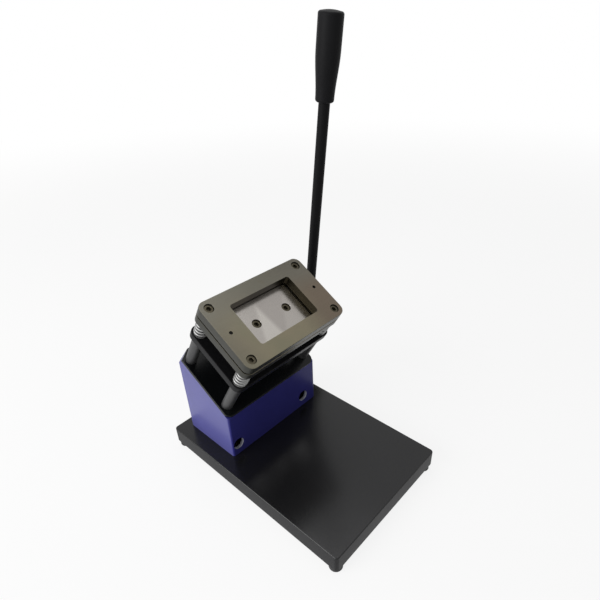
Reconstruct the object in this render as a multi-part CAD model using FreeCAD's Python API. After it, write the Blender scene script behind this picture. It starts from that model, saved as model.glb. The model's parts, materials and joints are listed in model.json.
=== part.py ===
import FreeCAD, Part
import math
import os

# Hand lever die cutter for plastic cards. Millimetres and degrees.
# The machine frame has +X right, +Y to the back and +Z up. Its zero is at the middle of the
# housing, at floor level. The die frame is that frame turned by the housing's slope about X,
# with its zero at the middle of the housing's slanted rim: u right, v up the slope, w out of it.

# Card
card_length = 85.6
card_width = 54.0
card_corner = 3.18

# Base and feet
base_width = 183.0
base_length = 273.0
base_thickness = 22.0
base_corner = 6.0
base_edge = 1.2
base_behind_housing = 12.5
foot_diameter = 15.0
foot_height = 6.0
foot_inset = 8.0
foot_screw_depth = 14.0

# Housing
housing_width = 145.5
housing_depth = 85.0
housing_front_height = 60.5
slope = 31.2
wall = 4.0
housing_corner = 3.0
corner_block = 16.0
corner_block_height = 7.0
access_hole_diameter = 15.0
access_hole_height = 15.5
access_hole_left = -63.0
access_hole_right = 49.5

# Deck: a lid on the slanted rim, with a body inside the walls
deck_lid = 3.0
deck_body = 11.5
deck_corner = 8.5
deck_edge = 0.8
bracket_width = 14.0
bracket_height = 9.0
bracket_length = 40.0
bracket_screw_spacing = 28.0

# Die set
post_from_side = 9.75
post_spacing_v = 69.0
plate_edge_u = 10.1
plate_edge_v = 10.0
plate_corner = 9.0
plate_edge = 0.8
column_diameter = 13.5
column_height = 52.0
post_diameter = 11.0
post_stud_diameter = 8.0
post_stud_length = 5.0
carrier_thickness = 10.4
carrier_edge = 2.0
spring_gap = 22.3
guide_thickness = 9.5
slot_height = 1.8
die_thickness = 11.4
punch_rest_gap = 0.2
die_entry = 3.5
punch_screw_spacing = 44.5
dowel_spacing = 123.6
dowel_diameter = 4.0
dowel_recess = 4.0
bush_wall = 2.5
spacer_width = 13.5
spacer_end = 7.8
washer_diameter = 14.0

# Springs
spring_outer = 16.6
spring_wire = 2.4
spring_turns = 4.5
spring_bend = 3.2
carrier_pocket = 5.0
guide_pocket = 3.6

# Ram and its bush
ram_diameter = 22.0
ram_spigot_diameter = 12.0
ram_spigot_length = 3.0
ram_screw_depth = 20.0
ram_screw_head = 15.8
ram_screw_socket = 2.5
ram_bush_wall = 3.0
ram_bush_flange = 4.0
ram_bush_flange_height = 3.0

# Cam and shaft
shaft_diameter = 16.0
shaft_depth = 30.0
cam_base_radius = 12.0
cam_width = 14.0
cam_over_travel = 7.0
key_width = 5.0
key_height = 5.0
shaft_end = 3.0
block_width = 16.0
block_offset = 26.0
block_radius = 13.5
block_foot_length = 52.0
block_foot_height = 7.0
block_screw_spacing = 39.6
shaft_bush_wall = 2.0
collar_diameter = 26.0
collar_width = 9.0

# Outer bearing
bearing_flange_diameter = 50.0
bearing_flange_thickness = 6.0
bearing_nose_diameter = 28.0
bearing_spigot_diameter = 25.0
bearing_bolt_circle = 40.0

# Lever
lever_plane = 123.5
lever_lean = 7.0
lever_swing = 80.0
hub_diameter = 30.0
hub_length = 28.0
boss_diameter = 20.0
boss_reach = 29.0
rod_diameter = 12.5
rod_seat = 10.0
grip_start = 306.5
grip_length = 80.5
grip_bottom_diameter = 20.2
grip_top_diameter = 25.8
grip_bore_depth = 45.0
grip_rim = 2.5
grip_dome = 1.2
grip_taper = 46.0

# Fasteners: head diameter, head height, thread diameter, key size
m4 = (8.0, 2.4, 4.0, 2.5)
m5 = (8.5, 5.0, 5.0, 4.0)
m6 = (10.0, 6.0, 6.0, 5.0)
m8 = (13.0, 8.0, 8.0, 6.0)
head_clearance = 0.7
head_depth = 1.5
shank_clearance = 0.3
thread_grip = 8.0
thread_end_gap = 1.5

# Clearances
fixed_fit = 0.02
running_fit = 0.05
cut_clearance = 0.1
pocket_clearance = 0.3
deck_clearance = 0.3
cam_clearance = 0.25
side_clearance = 0.2

# Places along the height and along the die axis
base_bottom = foot_height
base_top = base_bottom + base_thickness
tan_slope = math.tan(math.radians(slope))
cos_slope = math.cos(math.radians(slope))
rim_height = base_top + housing_front_height + housing_depth / 2 * tan_slope
base_rear = housing_depth / 2 + base_behind_housing
base_front = base_rear - base_length
deck_top = deck_lid
deck_bottom = -deck_body
carrier_bottom = deck_top + column_height
carrier_top = carrier_bottom + carrier_thickness
guide_bottom = carrier_top + spring_gap
guide_top = guide_bottom + guide_thickness
die_bottom = guide_top + slot_height
die_top = die_bottom + die_thickness
punch_top = guide_top - punch_rest_gap
stroke = punch_rest_gap + slot_height + die_entry
post_spacing_u = housing_width - 2 * post_from_side
plate_width = post_spacing_u + 2 * plate_edge_u
plate_depth = post_spacing_v + 2 * plate_edge_v
inner_x = housing_width / 2 - wall
inner_y = housing_depth / 2 - wall
bore_radius = ram_diameter / 2 + running_fit
ram_bush_radius = bore_radius + ram_bush_wall
shaft_radius = shaft_diameter / 2
block_bore = shaft_radius + running_fit + shaft_bush_wall
shaft_left = -block_offset - block_width / 2 - side_clearance - collar_width - shaft_end
hub_left = lever_plane - hub_length / 2
shaft_right = lever_plane + hub_length / 2
nose_end = hub_left - cam_clearance
spacer_length = post_spacing_u + 2 * spacer_end
post_places = {
    "front_left": (-post_spacing_u / 2, -post_spacing_v / 2),
    "front_right": (post_spacing_u / 2, -post_spacing_v / 2),
    "rear_left": (-post_spacing_u / 2, post_spacing_v / 2),
    "rear_right": (post_spacing_u / 2, post_spacing_v / 2),
}

# The part's own zero is at floor level, under the middle of its bounding box
origin_x = (shaft_right - base_width / 2) / 2
origin_y = (base_rear + base_front) / 2

X = FreeCAD.Vector(1, 0, 0)
Y = FreeCAD.Vector(0, 1, 0)
Z = FreeCAD.Vector(0, 0, 1)
ZERO = FreeCAD.Vector(0, 0, 0)


def point(x, y, z):
    return FreeCAD.Vector(x, y, z)


def tilt(shape):
    """Turn a shape from the die frame into the machine frame."""
    shape.rotate(ZERO, X, slope)
    shape.translate(point(0, 0, rim_height))
    return shape


def to_lever(shape):
    """Turn a shape from the lever frame, with its zero on the shaft, into the machine frame."""
    shape.rotate(ZERO, X, lever_lean)
    centre = tilt(Part.Vertex(0, 0, -shaft_depth)).Point
    shape.translate(point(lever_plane, centre.y, centre.z))
    return shape


def rod(diameter, start, length, axis=Z):
    """A round bar or, as a tool, a round hole."""
    return Part.makeCylinder(diameter / 2, length, start, axis)


def rounded_plate(width, depth, corner, low, high):
    """A plate with rounded corners, centred on the die axis."""
    a, b, c = width / 2, depth / 2, corner
    s = c * math.sqrt(0.5)
    edges = []
    turns = [(1, 1), (-1, 1), (-1, -1), (1, -1)]
    ends = []
    for i, (sx, sy) in enumerate(turns):
        centre = (sx * (a - c), sy * (b - c))
        on_x = point(sx * a, centre[1], low)
        on_y = point(centre[0], sy * b, low)
        first, last = (on_x, on_y) if i % 2 == 0 else (on_y, on_x)
        middle = point(centre[0] + sx * s, centre[1] + sy * s, low)
        ends.append((first, middle, last))
    for i, (first, middle, last) in enumerate(ends):
        edges.append(Part.Arc(first, middle, last).toShape())
        following = ends[(i + 1) % len(ends)][0]
        edges.append(Part.makeLine(last, following))
    return Part.Face(Part.Wire(edges)).extrude(point(0, 0, high - low))


def flat_edges(shape, level):
    """The edges of a plate that lie on one level."""
    return [e for e in shape.Edges if abs(e.BoundBox.ZMin - level) < 1e-6 and e.BoundBox.ZLength < 1e-6]


def hexagon(across_flats, low, high):
    radius = across_flats / math.sqrt(3)
    corners = [point(radius * math.cos(math.radians(a)), radius * math.sin(math.radians(a)), low)
               for a in range(0, 361, 60)]
    return Part.Face(Part.makePolygon(corners)).extrude(point(0, 0, high - low))


def cap_screw(size, length, place, down=True):
    """A socket head screw whose head seats at the given place."""
    head, height, thread, key = size
    shape = rod(head, ZERO, height)
    shape = shape.makeChamfer(0.4, flat_edges(shape, height))
    shape = shape.fuse(rod(thread, point(0, 0, -length), length)).removeSplitter()
    shape = shape.cut(hexagon(key, height * 0.45, height + 1))
    if not down:
        shape.rotate(ZERO, X, 180)
    shape.translate(place)
    return shape


def revolved(steps, axis_point=ZERO, axis=Z):
    """A turned piece from pairs of radius and height, closed on its axis."""
    points = [point(0, 0, steps[0][1])] + [point(r, 0, h) for r, h in steps] + [point(0, 0, steps[-1][1])]
    points.append(points[0])
    face = Part.Face(Part.makePolygon(points))
    shape = face.revolve(ZERO, Z, 360)
    if axis is X:
        shape.rotate(ZERO, Y, 90)
    shape.translate(axis_point)
    return shape


def at_posts(make):
    """One shape at each of the four posts."""
    return [make(u, v) for u, v in post_places.values()]


def at_feet():
    x = base_width / 2 - foot_inset
    return [(sx * x, y) for sx in (-1, 1) for y in (base_front + foot_inset, base_rear - foot_inset)]


def at_corner_blocks():
    x = inner_x - corner_block / 2
    y = inner_y - corner_block / 2
    return [(sx * x, sy * y) for sx in (-1, 1) for sy in (-1, 1)]


def base_plate():
    plate = rounded_plate(base_width, base_length, base_corner, base_bottom, base_top)
    plate.translate(point(0, (base_front + base_rear) / 2, 0))
    plate = plate.makeFillet(base_edge, flat_edges(plate, base_top))
    for x, y in at_feet():
        hole = rod(m4[2] + 2 * fixed_fit, point(x, y, base_bottom - 1), foot_screw_depth + 1.5)
        plate = plate.cut(hole)
    for x, y in at_corner_blocks():
        seat = rod(m8[0] + 2 * head_clearance, point(x, y, base_bottom - 1), m8[1] + head_depth + 1)
        through = rod(m8[2] + 2 * shank_clearance, point(x, y, base_bottom), base_thickness + 1)
        plate = plate.cut(seat).cut(through)
    return plate


def rubber_feet():
    feet = []
    for x, y in at_feet():
        radius = foot_diameter / 2
        foot = revolved([(radius - 1.0, 0), (radius, 1.0), (radius, foot_height)])
        foot = foot.cut(rod(m4[0] + 2 * head_clearance, point(0, 0, -1), foot_height / 2 + 1))
        foot = foot.cut(rod(m4[2] + 2 * fixed_fit, ZERO, foot_height + 1))
        foot.translate(point(x, y, 0))
        feet.append(foot)
    return feet


def foot_screws():
    length = foot_height / 2 + foot_screw_depth
    return [cap_screw(m4, length, point(x, y, foot_height / 2), down=False) for x, y in at_feet()]


def housing_profile(inset, bottom, extra):
    """The housing's side outline, a wedge under the slanted rim."""
    half = housing_depth / 2 - inset
    points = []
    for y, z in ((-half, bottom), (half, bottom),
                 (half, rim_height + half * tan_slope + extra),
                 (-half, rim_height - half * tan_slope + extra)):
        points.append(point(0, y, z))
    points.append(points[0])
    return Part.Face(Part.makePolygon(points))


def housing_inner():
    """The space inside the four walls, past their rim."""
    space = housing_profile(wall, base_top - 1, 20).extrude(point(2 * inner_x, 0, 0))
    space.translate(point(-inner_x, 0, 0))
    return space


def shaft_place(x):
    centre = tilt(Part.Vertex(0, 0, -shaft_depth)).Point
    return point(x, centre.y, centre.z)


def housing():
    body = housing_profile(0, base_top, 0).extrude(point(housing_width, 0, 0))
    body.translate(point(-housing_width / 2, 0, 0))
    upright = [e for e in body.Edges if e.BoundBox.XLength < 1e-6 and e.BoundBox.YLength < 1e-6]
    body = body.makeFillet(housing_corner, upright).cut(housing_inner())
    for x, y in at_corner_blocks():
        half = corner_block / 2
        block = Part.makeBox(corner_block, corner_block, corner_block_height,
                             point(x - half, y - half, base_top))
        body = body.fuse(block)
    for x, y in at_corner_blocks():
        body = body.cut(rod(m8[2] + 2 * fixed_fit, point(x, y, base_top - 1), corner_block_height + 2))
    for x in (access_hole_left, access_hole_right):
        start = point(x, -housing_depth / 2 - 1, base_top + access_hole_height)
        body = body.cut(rod(access_hole_diameter, start, wall + 2, Y))
    body = body.cut(rod(bearing_spigot_diameter + 2 * fixed_fit, shaft_place(inner_x - 1), wall + 2, X))
    for place in bearing_screw_places(inner_x - 1):
        body = body.cut(rod(m5[2] + 2 * fixed_fit, place, wall + 2, X))
    return body.removeSplitter()


def housing_bolts():
    seat = base_bottom + m8[1] + head_depth
    length = base_top + corner_block_height - 1 - seat
    return [cap_screw(m8, length, point(x, y, seat), down=False) for x, y in at_corner_blocks()]


def deck_room():
    """The space inside the walls, less a clearance, that the deck's body may take."""
    reach = inner_x - deck_clearance
    room = housing_profile(wall + deck_clearance, base_top, 2 * deck_lid).extrude(point(2 * reach, 0, 0))
    room.translate(point(-reach, 0, 0))
    return room


def deck_plate():
    """The lid that closes the housing and carries the die set, the ram and the cam shaft."""
    lid = rounded_plate(housing_width, housing_depth / cos_slope, deck_corner, 0, deck_top)
    lid = lid.makeFillet(deck_edge, flat_edges(lid, deck_top))
    slab = rounded_plate(2 * housing_width, 2 * housing_depth, deck_corner, deck_bottom, 0)
    deck = tilt(slab).common(deck_room()).fuse(tilt(lid)).removeSplitter()
    stud_low = deck_top - post_stud_length - fixed_fit
    through = deck_top - deck_bottom
    holes = at_posts(lambda u, v: rod(post_stud_diameter + 2 * fixed_fit, point(u, v, stud_low), through))
    holes.append(rod(2 * (ram_bush_radius + fixed_fit), point(0, 0, deck_bottom - 1), through + 2))
    for u, v in block_screw_places():
        holes.append(rod(m6[2] + 2 * fixed_fit, point(u, v, deck_bottom - 1), thread_grip + 1))
    for u, v in bracket_screw_places():
        holes.append(rod(m5[2] + 2 * fixed_fit, point(u, v, deck_bottom - 1), thread_grip + 1))
    for hole in holes:
        deck = deck.cut(tilt(hole))
    return deck


def bracket_screw_places():
    u = inner_x - bracket_width / 2
    return [(su * u, sv * bracket_screw_spacing / 2) for su in (-1, 1) for sv in (-1, 1)]


def deck_brackets():
    bars = []
    for side in (-1, 1):
        left = inner_x - bracket_width if side > 0 else -inner_x
        bar = Part.makeBox(bracket_width, bracket_length, bracket_height,
                           point(left, -bracket_length / 2, deck_bottom - bracket_height))
        for u, v in bracket_screw_places():
            bar = bar.cut(rod(m5[2] + 2 * shank_clearance,
                              point(u, v, deck_bottom - bracket_height - 1), bracket_height + 2))
        bars.append(tilt(bar))
    return bars


def deck_screws():
    length = bracket_height + thread_grip - 1
    return [tilt(cap_screw(m5, length, point(u, v, deck_bottom - bracket_height), down=False))
            for u, v in bracket_screw_places()]


def guide_post(u, v):
    """A stepped post: stud in the deck, column under the carrier, guide up to the guide plate."""
    top = guide_bottom + guide_pocket
    stud, column, guide = post_stud_diameter / 2, column_diameter / 2, post_diameter / 2
    post = revolved([(stud, deck_top - post_stud_length), (stud, deck_top), (column - 0.5, deck_top),
                     (column, deck_top + 0.5), (column, carrier_bottom - 0.5),
                     (column - 0.5, carrier_bottom), (guide, carrier_bottom), (guide, top)])
    thread = rod(m6[2] + 2 * fixed_fit, point(0, 0, top - die_screw_grip() - 1), die_screw_grip() + 2)
    post = post.cut(thread)
    post.translate(point(u, v, 0))
    return tilt(post)


def die_screw_grip():
    return 2 * thread_grip


def ram_bush():
    flange = ram_bush_radius + ram_bush_flange
    bush = revolved([(ram_bush_radius, deck_bottom), (ram_bush_radius, deck_top), (flange, deck_top),
                     (flange, deck_top + ram_bush_flange_height - 0.5),
                     (flange - 0.5, deck_top + ram_bush_flange_height)])
    reach = deck_top + ram_bush_flange_height - deck_bottom
    bush = bush.cut(rod(2 * bore_radius, point(0, 0, deck_bottom - 1), reach + 2))
    return tilt(bush)


def ram():
    foot = -shaft_depth + cam_base_radius + cam_clearance
    radius, spigot = ram_diameter / 2, ram_spigot_diameter / 2
    shape = revolved([(radius - 1, foot), (radius, foot + 1), (radius, carrier_bottom),
                      (spigot, carrier_bottom), (spigot, carrier_bottom + ram_spigot_length)])
    top = carrier_bottom + ram_spigot_length
    shape = shape.cut(rod(m8[2] + 2 * fixed_fit, point(0, 0, top - ram_screw_depth - 1), ram_screw_depth + 2))
    return tilt(shape)


def ram_screw_shape(clearance, length):
    """A countersunk screw, or the seat that takes it."""
    head, thread = ram_screw_head / 2 + clearance, m8[2] / 2 + clearance
    cone = head - thread
    return revolved([(thread, carrier_top - cone - length), (thread, carrier_top - cone), (head, carrier_top)])


def ram_screw():
    cone = (ram_screw_head - m8[2]) / 2
    length = carrier_thickness - ram_spigot_length - cone + ram_screw_depth - thread_end_gap
    socket = hexagon(m8[3] - 1, carrier_top - ram_screw_socket, carrier_top + 1)
    return tilt(ram_screw_shape(0, length).cut(socket))


def block_screw_places():
    return [(su * block_offset, sv * block_screw_spacing / 2) for su in (-1, 1) for sv in (-1, 1)]


def block_screw_seat():
    return deck_bottom - block_foot_height


def bearing_block(side):
    """A pillow block hung from the deck: two feet for its screws and a round body about the shaft."""
    foot, body, low = block_foot_length / 2, block_radius, block_screw_seat()
    corners = [point(0, body, -shaft_depth), point(0, body, low), point(0, foot, low),
               point(0, foot, deck_bottom), point(0, -foot, deck_bottom), point(0, -foot, low),
               point(0, -body, low), point(0, -body, -shaft_depth)]
    outline = [Part.makeLine(here, there) for here, there in zip(corners, corners[1:])]
    outline.append(Part.Arc(corners[-1], point(0, 0, -shaft_depth - body), corners[0]).toShape())
    block = Part.Face(Part.Wire(outline)).extrude(point(block_width, 0, 0))
    block.translate(point(side * block_offset - block_width / 2, 0, 0))
    start = point(side * block_offset - block_width, 0, -shaft_depth)
    block = block.cut(rod(2 * (block_bore + fixed_fit), start, 2 * block_width, X))
    for u, v in block_screw_places():
        block = block.cut(rod(m6[2] + 2 * shank_clearance, point(u, v, low - 1), block_foot_height + 2))
    return tilt(block)


def shaft_bush(side):
    start = point(side * block_offset - block_width / 2, 0, -shaft_depth)
    bush = rod(2 * block_bore, start, block_width, X)
    bush = bush.cut(rod(2 * (shaft_radius + running_fit), start, block_width, X))
    return tilt(bush)


def block_screws():
    length = deck_bottom - block_screw_seat() + thread_grip - 1
    return [tilt(cap_screw(m6, length, point(u, v, block_screw_seat()), down=False))
            for u, v in block_screw_places()]


def key_slot(start, length, radial, clearance):
    """A key's space on the under side of the shaft."""
    width = key_width + 2 * clearance
    return Part.makeBox(length, width, key_height + 2 * clearance,
                        point(start, -width / 2, -radial - key_height / 2 - clearance))


def cam_shaft():
    """The turning shaft, in the lever frame."""
    left = shaft_left - lever_plane
    length = shaft_right - shaft_left
    shape = revolved([(shaft_radius - 1, 0), (shaft_radius, 1), (shaft_radius, length - 1),
                      (shaft_radius - 1, length)], axis=X)
    shape.translate(point(left, 0, 0))
    shape = shape.cut(key_slot(-lever_plane - cam_width / 2, cam_width, shaft_radius, fixed_fit))
    shape = shape.cut(key_slot(-hub_length / 2, hub_length, shaft_radius, fixed_fit))
    return to_lever(shape)


def cam_point(angle):
    """A point of the working flank: a flat foot on it rises in step with the turn."""
    rate = stroke / math.radians(lever_swing)
    lift = cam_base_radius + rate * math.radians(90 - angle)
    c, s = math.cos(math.radians(angle)), math.sin(math.radians(angle))
    return point(0, lift * c + rate * s, lift * s - rate * c)


def cam():
    """The cam, in the die frame: an involute flank, a rounded nose and a round back."""
    first, last = 90 + cam_over_travel, 90 - lever_swing - cam_over_travel
    steps = 10
    flank_points = [cam_point(first + (last - first) * i / steps) for i in range(steps + 1)]
    flank = Part.BSplineCurve()
    flank.interpolate(flank_points)
    start, tip = flank_points[0], flank_points[-1]
    reach, heading = tip.Length, math.atan2(tip.z, tip.y)

    def behind(share, turn):
        a = heading - math.radians(turn)
        return point(0, share * reach * math.cos(a), share * reach * math.sin(a))

    nose = Part.Arc(tip, behind(0.97, 12), behind(0.86, 22)).toShape()
    heel = behind(0.5, 60)
    outline = Part.Wire([flank.toShape(), nose, Part.makeLine(behind(0.86, 22), heel),
                         Part.makeLine(heel, ZERO), Part.makeLine(ZERO, start)])
    lobe = Part.Face(outline).extrude(point(cam_width, 0, 0))
    back = rod(2 * (cam_base_radius - 2 * cam_clearance), ZERO, cam_width, X)
    shape = lobe.fuse(back).removeSplitter()
    shape.translate(point(-cam_width / 2, 0, 0))
    shape = shape.cut(rod(2 * (shaft_radius + fixed_fit), point(-cam_width, 0, 0), 2 * cam_width, X))
    slot = key_slot(-cam_width, 2 * cam_width, shaft_radius, fixed_fit)
    slot.rotate(ZERO, X, lever_lean - slope)
    shape = shape.cut(slot)
    shape.translate(point(0, 0, -shaft_depth))
    return tilt(shape)


def cam_key():
    return to_lever(key_slot(-lever_plane - cam_width / 2, cam_width, shaft_radius, 0))


def collar_starts():
    outside = block_offset + block_width / 2 + side_clearance
    return (-outside - collar_width, outside)


def shaft_collars():
    collars = []
    for start in collar_starts():
        collar = rod(collar_diameter, point(start, 0, 0), collar_width, X)
        rims = [e for e in collar.Edges if e.BoundBox.XLength < 1e-6]
        collar = collar.makeChamfer(0.6, rims)
        collar = collar.cut(rod(2 * (shaft_radius + fixed_fit), point(start, 0, 0), collar_width, X))
        hole = rod(m4[2] + 2 * fixed_fit, point(start + collar_width / 2, 0, shaft_radius - 1), collar_diameter)
        collar = collar.cut(hole)
        collar.translate(point(-lever_plane, 0, 0))
        collars.append(to_lever(collar))
    return collars


def collar_screws():
    screws = []
    for start in collar_starts():
        low = shaft_radius + fixed_fit
        length = collar_diameter / 2 - low - 0.6
        place = point(start + collar_width / 2 - lever_plane, 0, low)
        screw = rod(m4[2], place, length)
        socket = hexagon(m4[3] - 0.5, low + length / 2, low + length + 1)
        socket.translate(point(place.x, 0, 0))
        screws.append(to_lever(screw.cut(socket)))
    return screws


def bearing_screw_places(x):
    centre = shaft_place(x)
    radius = bearing_bolt_circle / 2
    places = []
    for turn in (45, 135, 225, 315):
        a = math.radians(turn)
        places.append(centre + point(0, radius * math.cos(a), radius * math.sin(a)))
    return places


def outer_bearing():
    """The flanged bearing on the right wall that carries the shaft beside the lever."""
    face = housing_width / 2
    flange, nose = bearing_flange_diameter / 2, bearing_nose_diameter / 2
    outer = face + bearing_flange_thickness
    shape = revolved([(bearing_spigot_diameter / 2, inner_x), (bearing_spigot_diameter / 2, face),
                      (flange, face), (flange, outer - 1), (flange - 1, outer), (nose + 1.5, outer),
                      (nose, outer + 1.5), (nose, nose_end - 1), (nose - 1, nose_end)], axis=X)
    shape.translate(shaft_place(0))
    shape = shape.cut(rod(2 * (block_bore + fixed_fit), shaft_place(inner_x - 1), nose_end, X))
    for place in bearing_screw_places(face - 1):
        shape = shape.cut(rod(m5[2] + 2 * shank_clearance, place, bearing_flange_thickness + 2, X))
    return shape


def outer_bush():
    length = nose_end - inner_x
    bush = rod(2 * block_bore, shaft_place(inner_x), length, X)
    return bush.cut(rod(2 * (shaft_radius + running_fit), shaft_place(inner_x), length, X))


def bearing_screws():
    screws = []
    seat = housing_width / 2 + bearing_flange_thickness
    for place in bearing_screw_places(seat):
        screw = cap_screw(m5, bearing_flange_thickness + wall, ZERO)
        screw.rotate(ZERO, Y, 90)
        screw.translate(place)
        screws.append(screw)
    return screws


def lever_hub():
    """The hub on the shaft's end, with a boss that takes the rod."""
    radius, half = hub_diameter / 2, hub_length / 2
    barrel = revolved([(radius - 1.5, -half), (radius, -half + 1.5), (radius, half - 1.5),
                       (radius - 1.5, half)], axis=X)
    boss = revolved([(boss_diameter / 2, 0), (boss_diameter / 2, boss_reach - 2),
                     (boss_diameter / 2 - 2, boss_reach)])
    shape = barrel.fuse(boss).removeSplitter()
    shape = shape.cut(rod(2 * (shaft_radius + fixed_fit), point(-hub_length, 0, 0), 2 * hub_length, X))
    shape = shape.cut(rod(rod_diameter + 2 * fixed_fit, point(0, 0, rod_seat), boss_reach))
    shape = shape.cut(key_slot(-hub_length, 2 * hub_length, shaft_radius, fixed_fit))
    set_hole = rod(m6[2] + 2 * fixed_fit, point(0, 0, 0), hub_diameter, Y)
    return to_lever(shape.cut(set_hole))


def hub_key():
    return to_lever(key_slot(-hub_length / 2, hub_length, shaft_radius, 0))


def hub_screw():
    low = shaft_radius + fixed_fit
    length = hub_diameter / 2 - low - 0.3
    screw = rod(m6[2], point(0, 0, low), length)
    screw = screw.cut(hexagon(m6[3] - 2, low + length / 2, low + length + 1))
    screw.rotate(ZERO, X, -90)
    return to_lever(screw)


def lever_rod():
    radius = rod_diameter / 2
    end = grip_start + grip_bore_depth
    return to_lever(revolved([(radius - 1, rod_seat), (radius, rod_seat + 1), (radius, end - 1),
                              (radius - 1, end)]))


def grip():
    """The moulded hand grip: slim at the rod, full near its slightly domed top."""
    low, top = grip_start, grip_start + grip_length
    slim, full = grip_bottom_diameter / 2, grip_top_diameter / 2
    bore, bore_end = rod_diameter / 2 + fixed_fit, low + grip_bore_depth + 0.5
    crown_start, crown_end = point(full, 0, top - grip_rim), point(full - grip_rim, 0, top)
    corner = grip_rim * (1 - math.sqrt(0.5))
    foot, shoulder = point(slim, 0, low + grip_rim), point(full, 0, low + grip_rim + grip_taper)
    flank = [p.toShape() for p in biarc(foot, Z, shoulder, Z)] + [Part.makeLine(shoulder, crown_start)]
    crown = Part.Arc(crown_start, point(full - corner, 0, top - corner), crown_end).toShape()
    peak = point(0, 0, top + grip_dome)
    sphere = (crown_end.x ** 2 + grip_dome ** 2) / (2 * grip_dome)
    between = point(crown_end.x / 2, 0, peak.z - sphere + math.sqrt(sphere ** 2 - crown_end.x ** 2 / 4))
    dome = Part.Arc(crown_end, between, peak).toShape()
    rest = Part.makePolygon([peak, point(0, 0, bore_end), point(bore, 0, bore_end), point(bore, 0, low),
                             point(slim - grip_rim, 0, low), point(slim, 0, low + grip_rim)])
    outline = Part.Wire(flank + [crown, dome] + rest.Edges)
    return to_lever(Part.Face(outline).revolve(ZERO, Z, 360))


def carrier_plate():
    plate = rounded_plate(plate_width, plate_depth, plate_corner, carrier_bottom, carrier_top)
    plate = plate.makeChamfer(carrier_edge, flat_edges(plate, carrier_bottom))
    plate = plate.makeChamfer(plate_edge, flat_edges(plate, carrier_top))
    pocket = spring_outer + 2 * pocket_clearance
    bore = post_diameter + 2 * (running_fit + bush_wall + fixed_fit)
    holes = at_posts(lambda u, v: rod(pocket, point(u, v, carrier_top - carrier_pocket), carrier_pocket + 1))
    holes += at_posts(lambda u, v: rod(bore, point(u, v, carrier_bottom - 1), carrier_thickness + 2))
    holes.append(rod(ram_spigot_diameter + 2 * fixed_fit, point(0, 0, carrier_bottom - 1),
                     ram_spigot_length + 1))
    holes.append(ram_screw_shape(fixed_fit, carrier_thickness))
    for side in (-1, 1):
        place = point(side * punch_screw_spacing / 2, 0, carrier_bottom - 1)
        holes.append(rod(m6[2] + 2 * fixed_fit, place, carrier_thickness + 2))
    for hole in holes:
        plate = plate.cut(hole)
    return tilt(plate)


def carrier_bush(u, v):
    low, high = carrier_bottom, carrier_top - carrier_pocket
    inner = post_diameter / 2 + running_fit
    bush = rod(2 * (inner + bush_wall), point(u, v, low), high - low)
    return tilt(bush.cut(rod(2 * inner, point(u, v, low), high - low)))


def punch():
    block = rounded_plate(card_length, card_width, card_corner, carrier_top, punch_top)
    seat = punch_top - m6[1] - head_depth
    for side in (-1, 1):
        u = side * punch_screw_spacing / 2
        block = block.cut(rod(m6[0] + 2 * head_clearance, point(u, 0, seat), die_thickness))
        block = block.cut(rod(m6[2] + 2 * shank_clearance, point(u, 0, carrier_top - 1), punch_top))
    return tilt(block)


def punch_screws():
    seat = punch_top - m6[1] - head_depth
    length = seat - carrier_bottom - 1
    return [tilt(cap_screw(m6, length, point(side * punch_screw_spacing / 2, 0, seat))) for side in (-1, 1)]


def windowed_plate(low, high):
    """A die set plate with the card's window through it."""
    plate = rounded_plate(plate_width, plate_depth, plate_corner, low, high)
    plate = plate.makeChamfer(plate_edge, flat_edges(plate, low) + flat_edges(plate, high))
    grow = 2 * cut_clearance
    window = rounded_plate(card_length + grow, card_width + grow, card_corner + cut_clearance,
                           low - 1, high + 1)
    return plate.cut(window)


def die_screw_seat():
    return die_top - m6[1] - head_depth


def guide_plate():
    plate = windowed_plate(guide_bottom, guide_top)
    pocket = spring_outer + 2 * pocket_clearance
    shank = m6[2] + 2 * shank_clearance
    holes = at_posts(lambda u, v: rod(pocket, point(u, v, guide_bottom - 1), guide_pocket + 1))
    holes += at_posts(lambda u, v: rod(shank, point(u, v, guide_bottom), guide_thickness + 1))
    for side in (-1, 1):
        place = point(side * dowel_spacing / 2, 0, guide_bottom - 1)
        holes.append(rod(dowel_diameter + 2 * fixed_fit, place, guide_thickness + 2))
    for hole in holes:
        plate = plate.cut(hole)
    return tilt(plate)


def die_plate():
    plate = windowed_plate(die_bottom, die_top)
    seat = die_screw_seat()
    holes = at_posts(lambda u, v: rod(m6[0] + 2 * head_clearance, point(u, v, seat), die_thickness))
    holes += at_posts(lambda u, v: rod(m6[2] + 2 * shank_clearance, point(u, v, die_bottom - 1), die_thickness))
    for side in (-1, 1):
        place = point(side * dowel_spacing / 2, 0, die_bottom - 1)
        holes.append(rod(dowel_diameter + 2 * fixed_fit, place, die_thickness + 2))
    for hole in holes:
        plate = plate.cut(hole)
    return tilt(plate)


def die_screws():
    seat = die_screw_seat()
    length = seat - guide_bottom - guide_pocket + die_screw_grip()
    return [tilt(screw) for screw in at_posts(lambda u, v: cap_screw(m6, length, point(u, v, seat)))]


def dowel_pins():
    length = die_top - dowel_recess - guide_bottom
    return [tilt(rod(dowel_diameter, point(side * dowel_spacing / 2, 0, guide_bottom), length))
            for side in (-1, 1)]


def rear_spacer():
    """The strip that keeps the slot open at the back and stops the sheet."""
    rear = post_spacing_v / 2 + spacer_width / 2
    strip = Part.makeBox(spacer_length, spacer_width, slot_height,
                         point(-spacer_length / 2, rear - spacer_width, guide_top))
    for u, v in post_places.values():
        strip = strip.cut(rod(m6[2] + 2 * shank_clearance, point(u, v, guide_top - 1), slot_height + 2))
    return tilt(strip)


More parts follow.
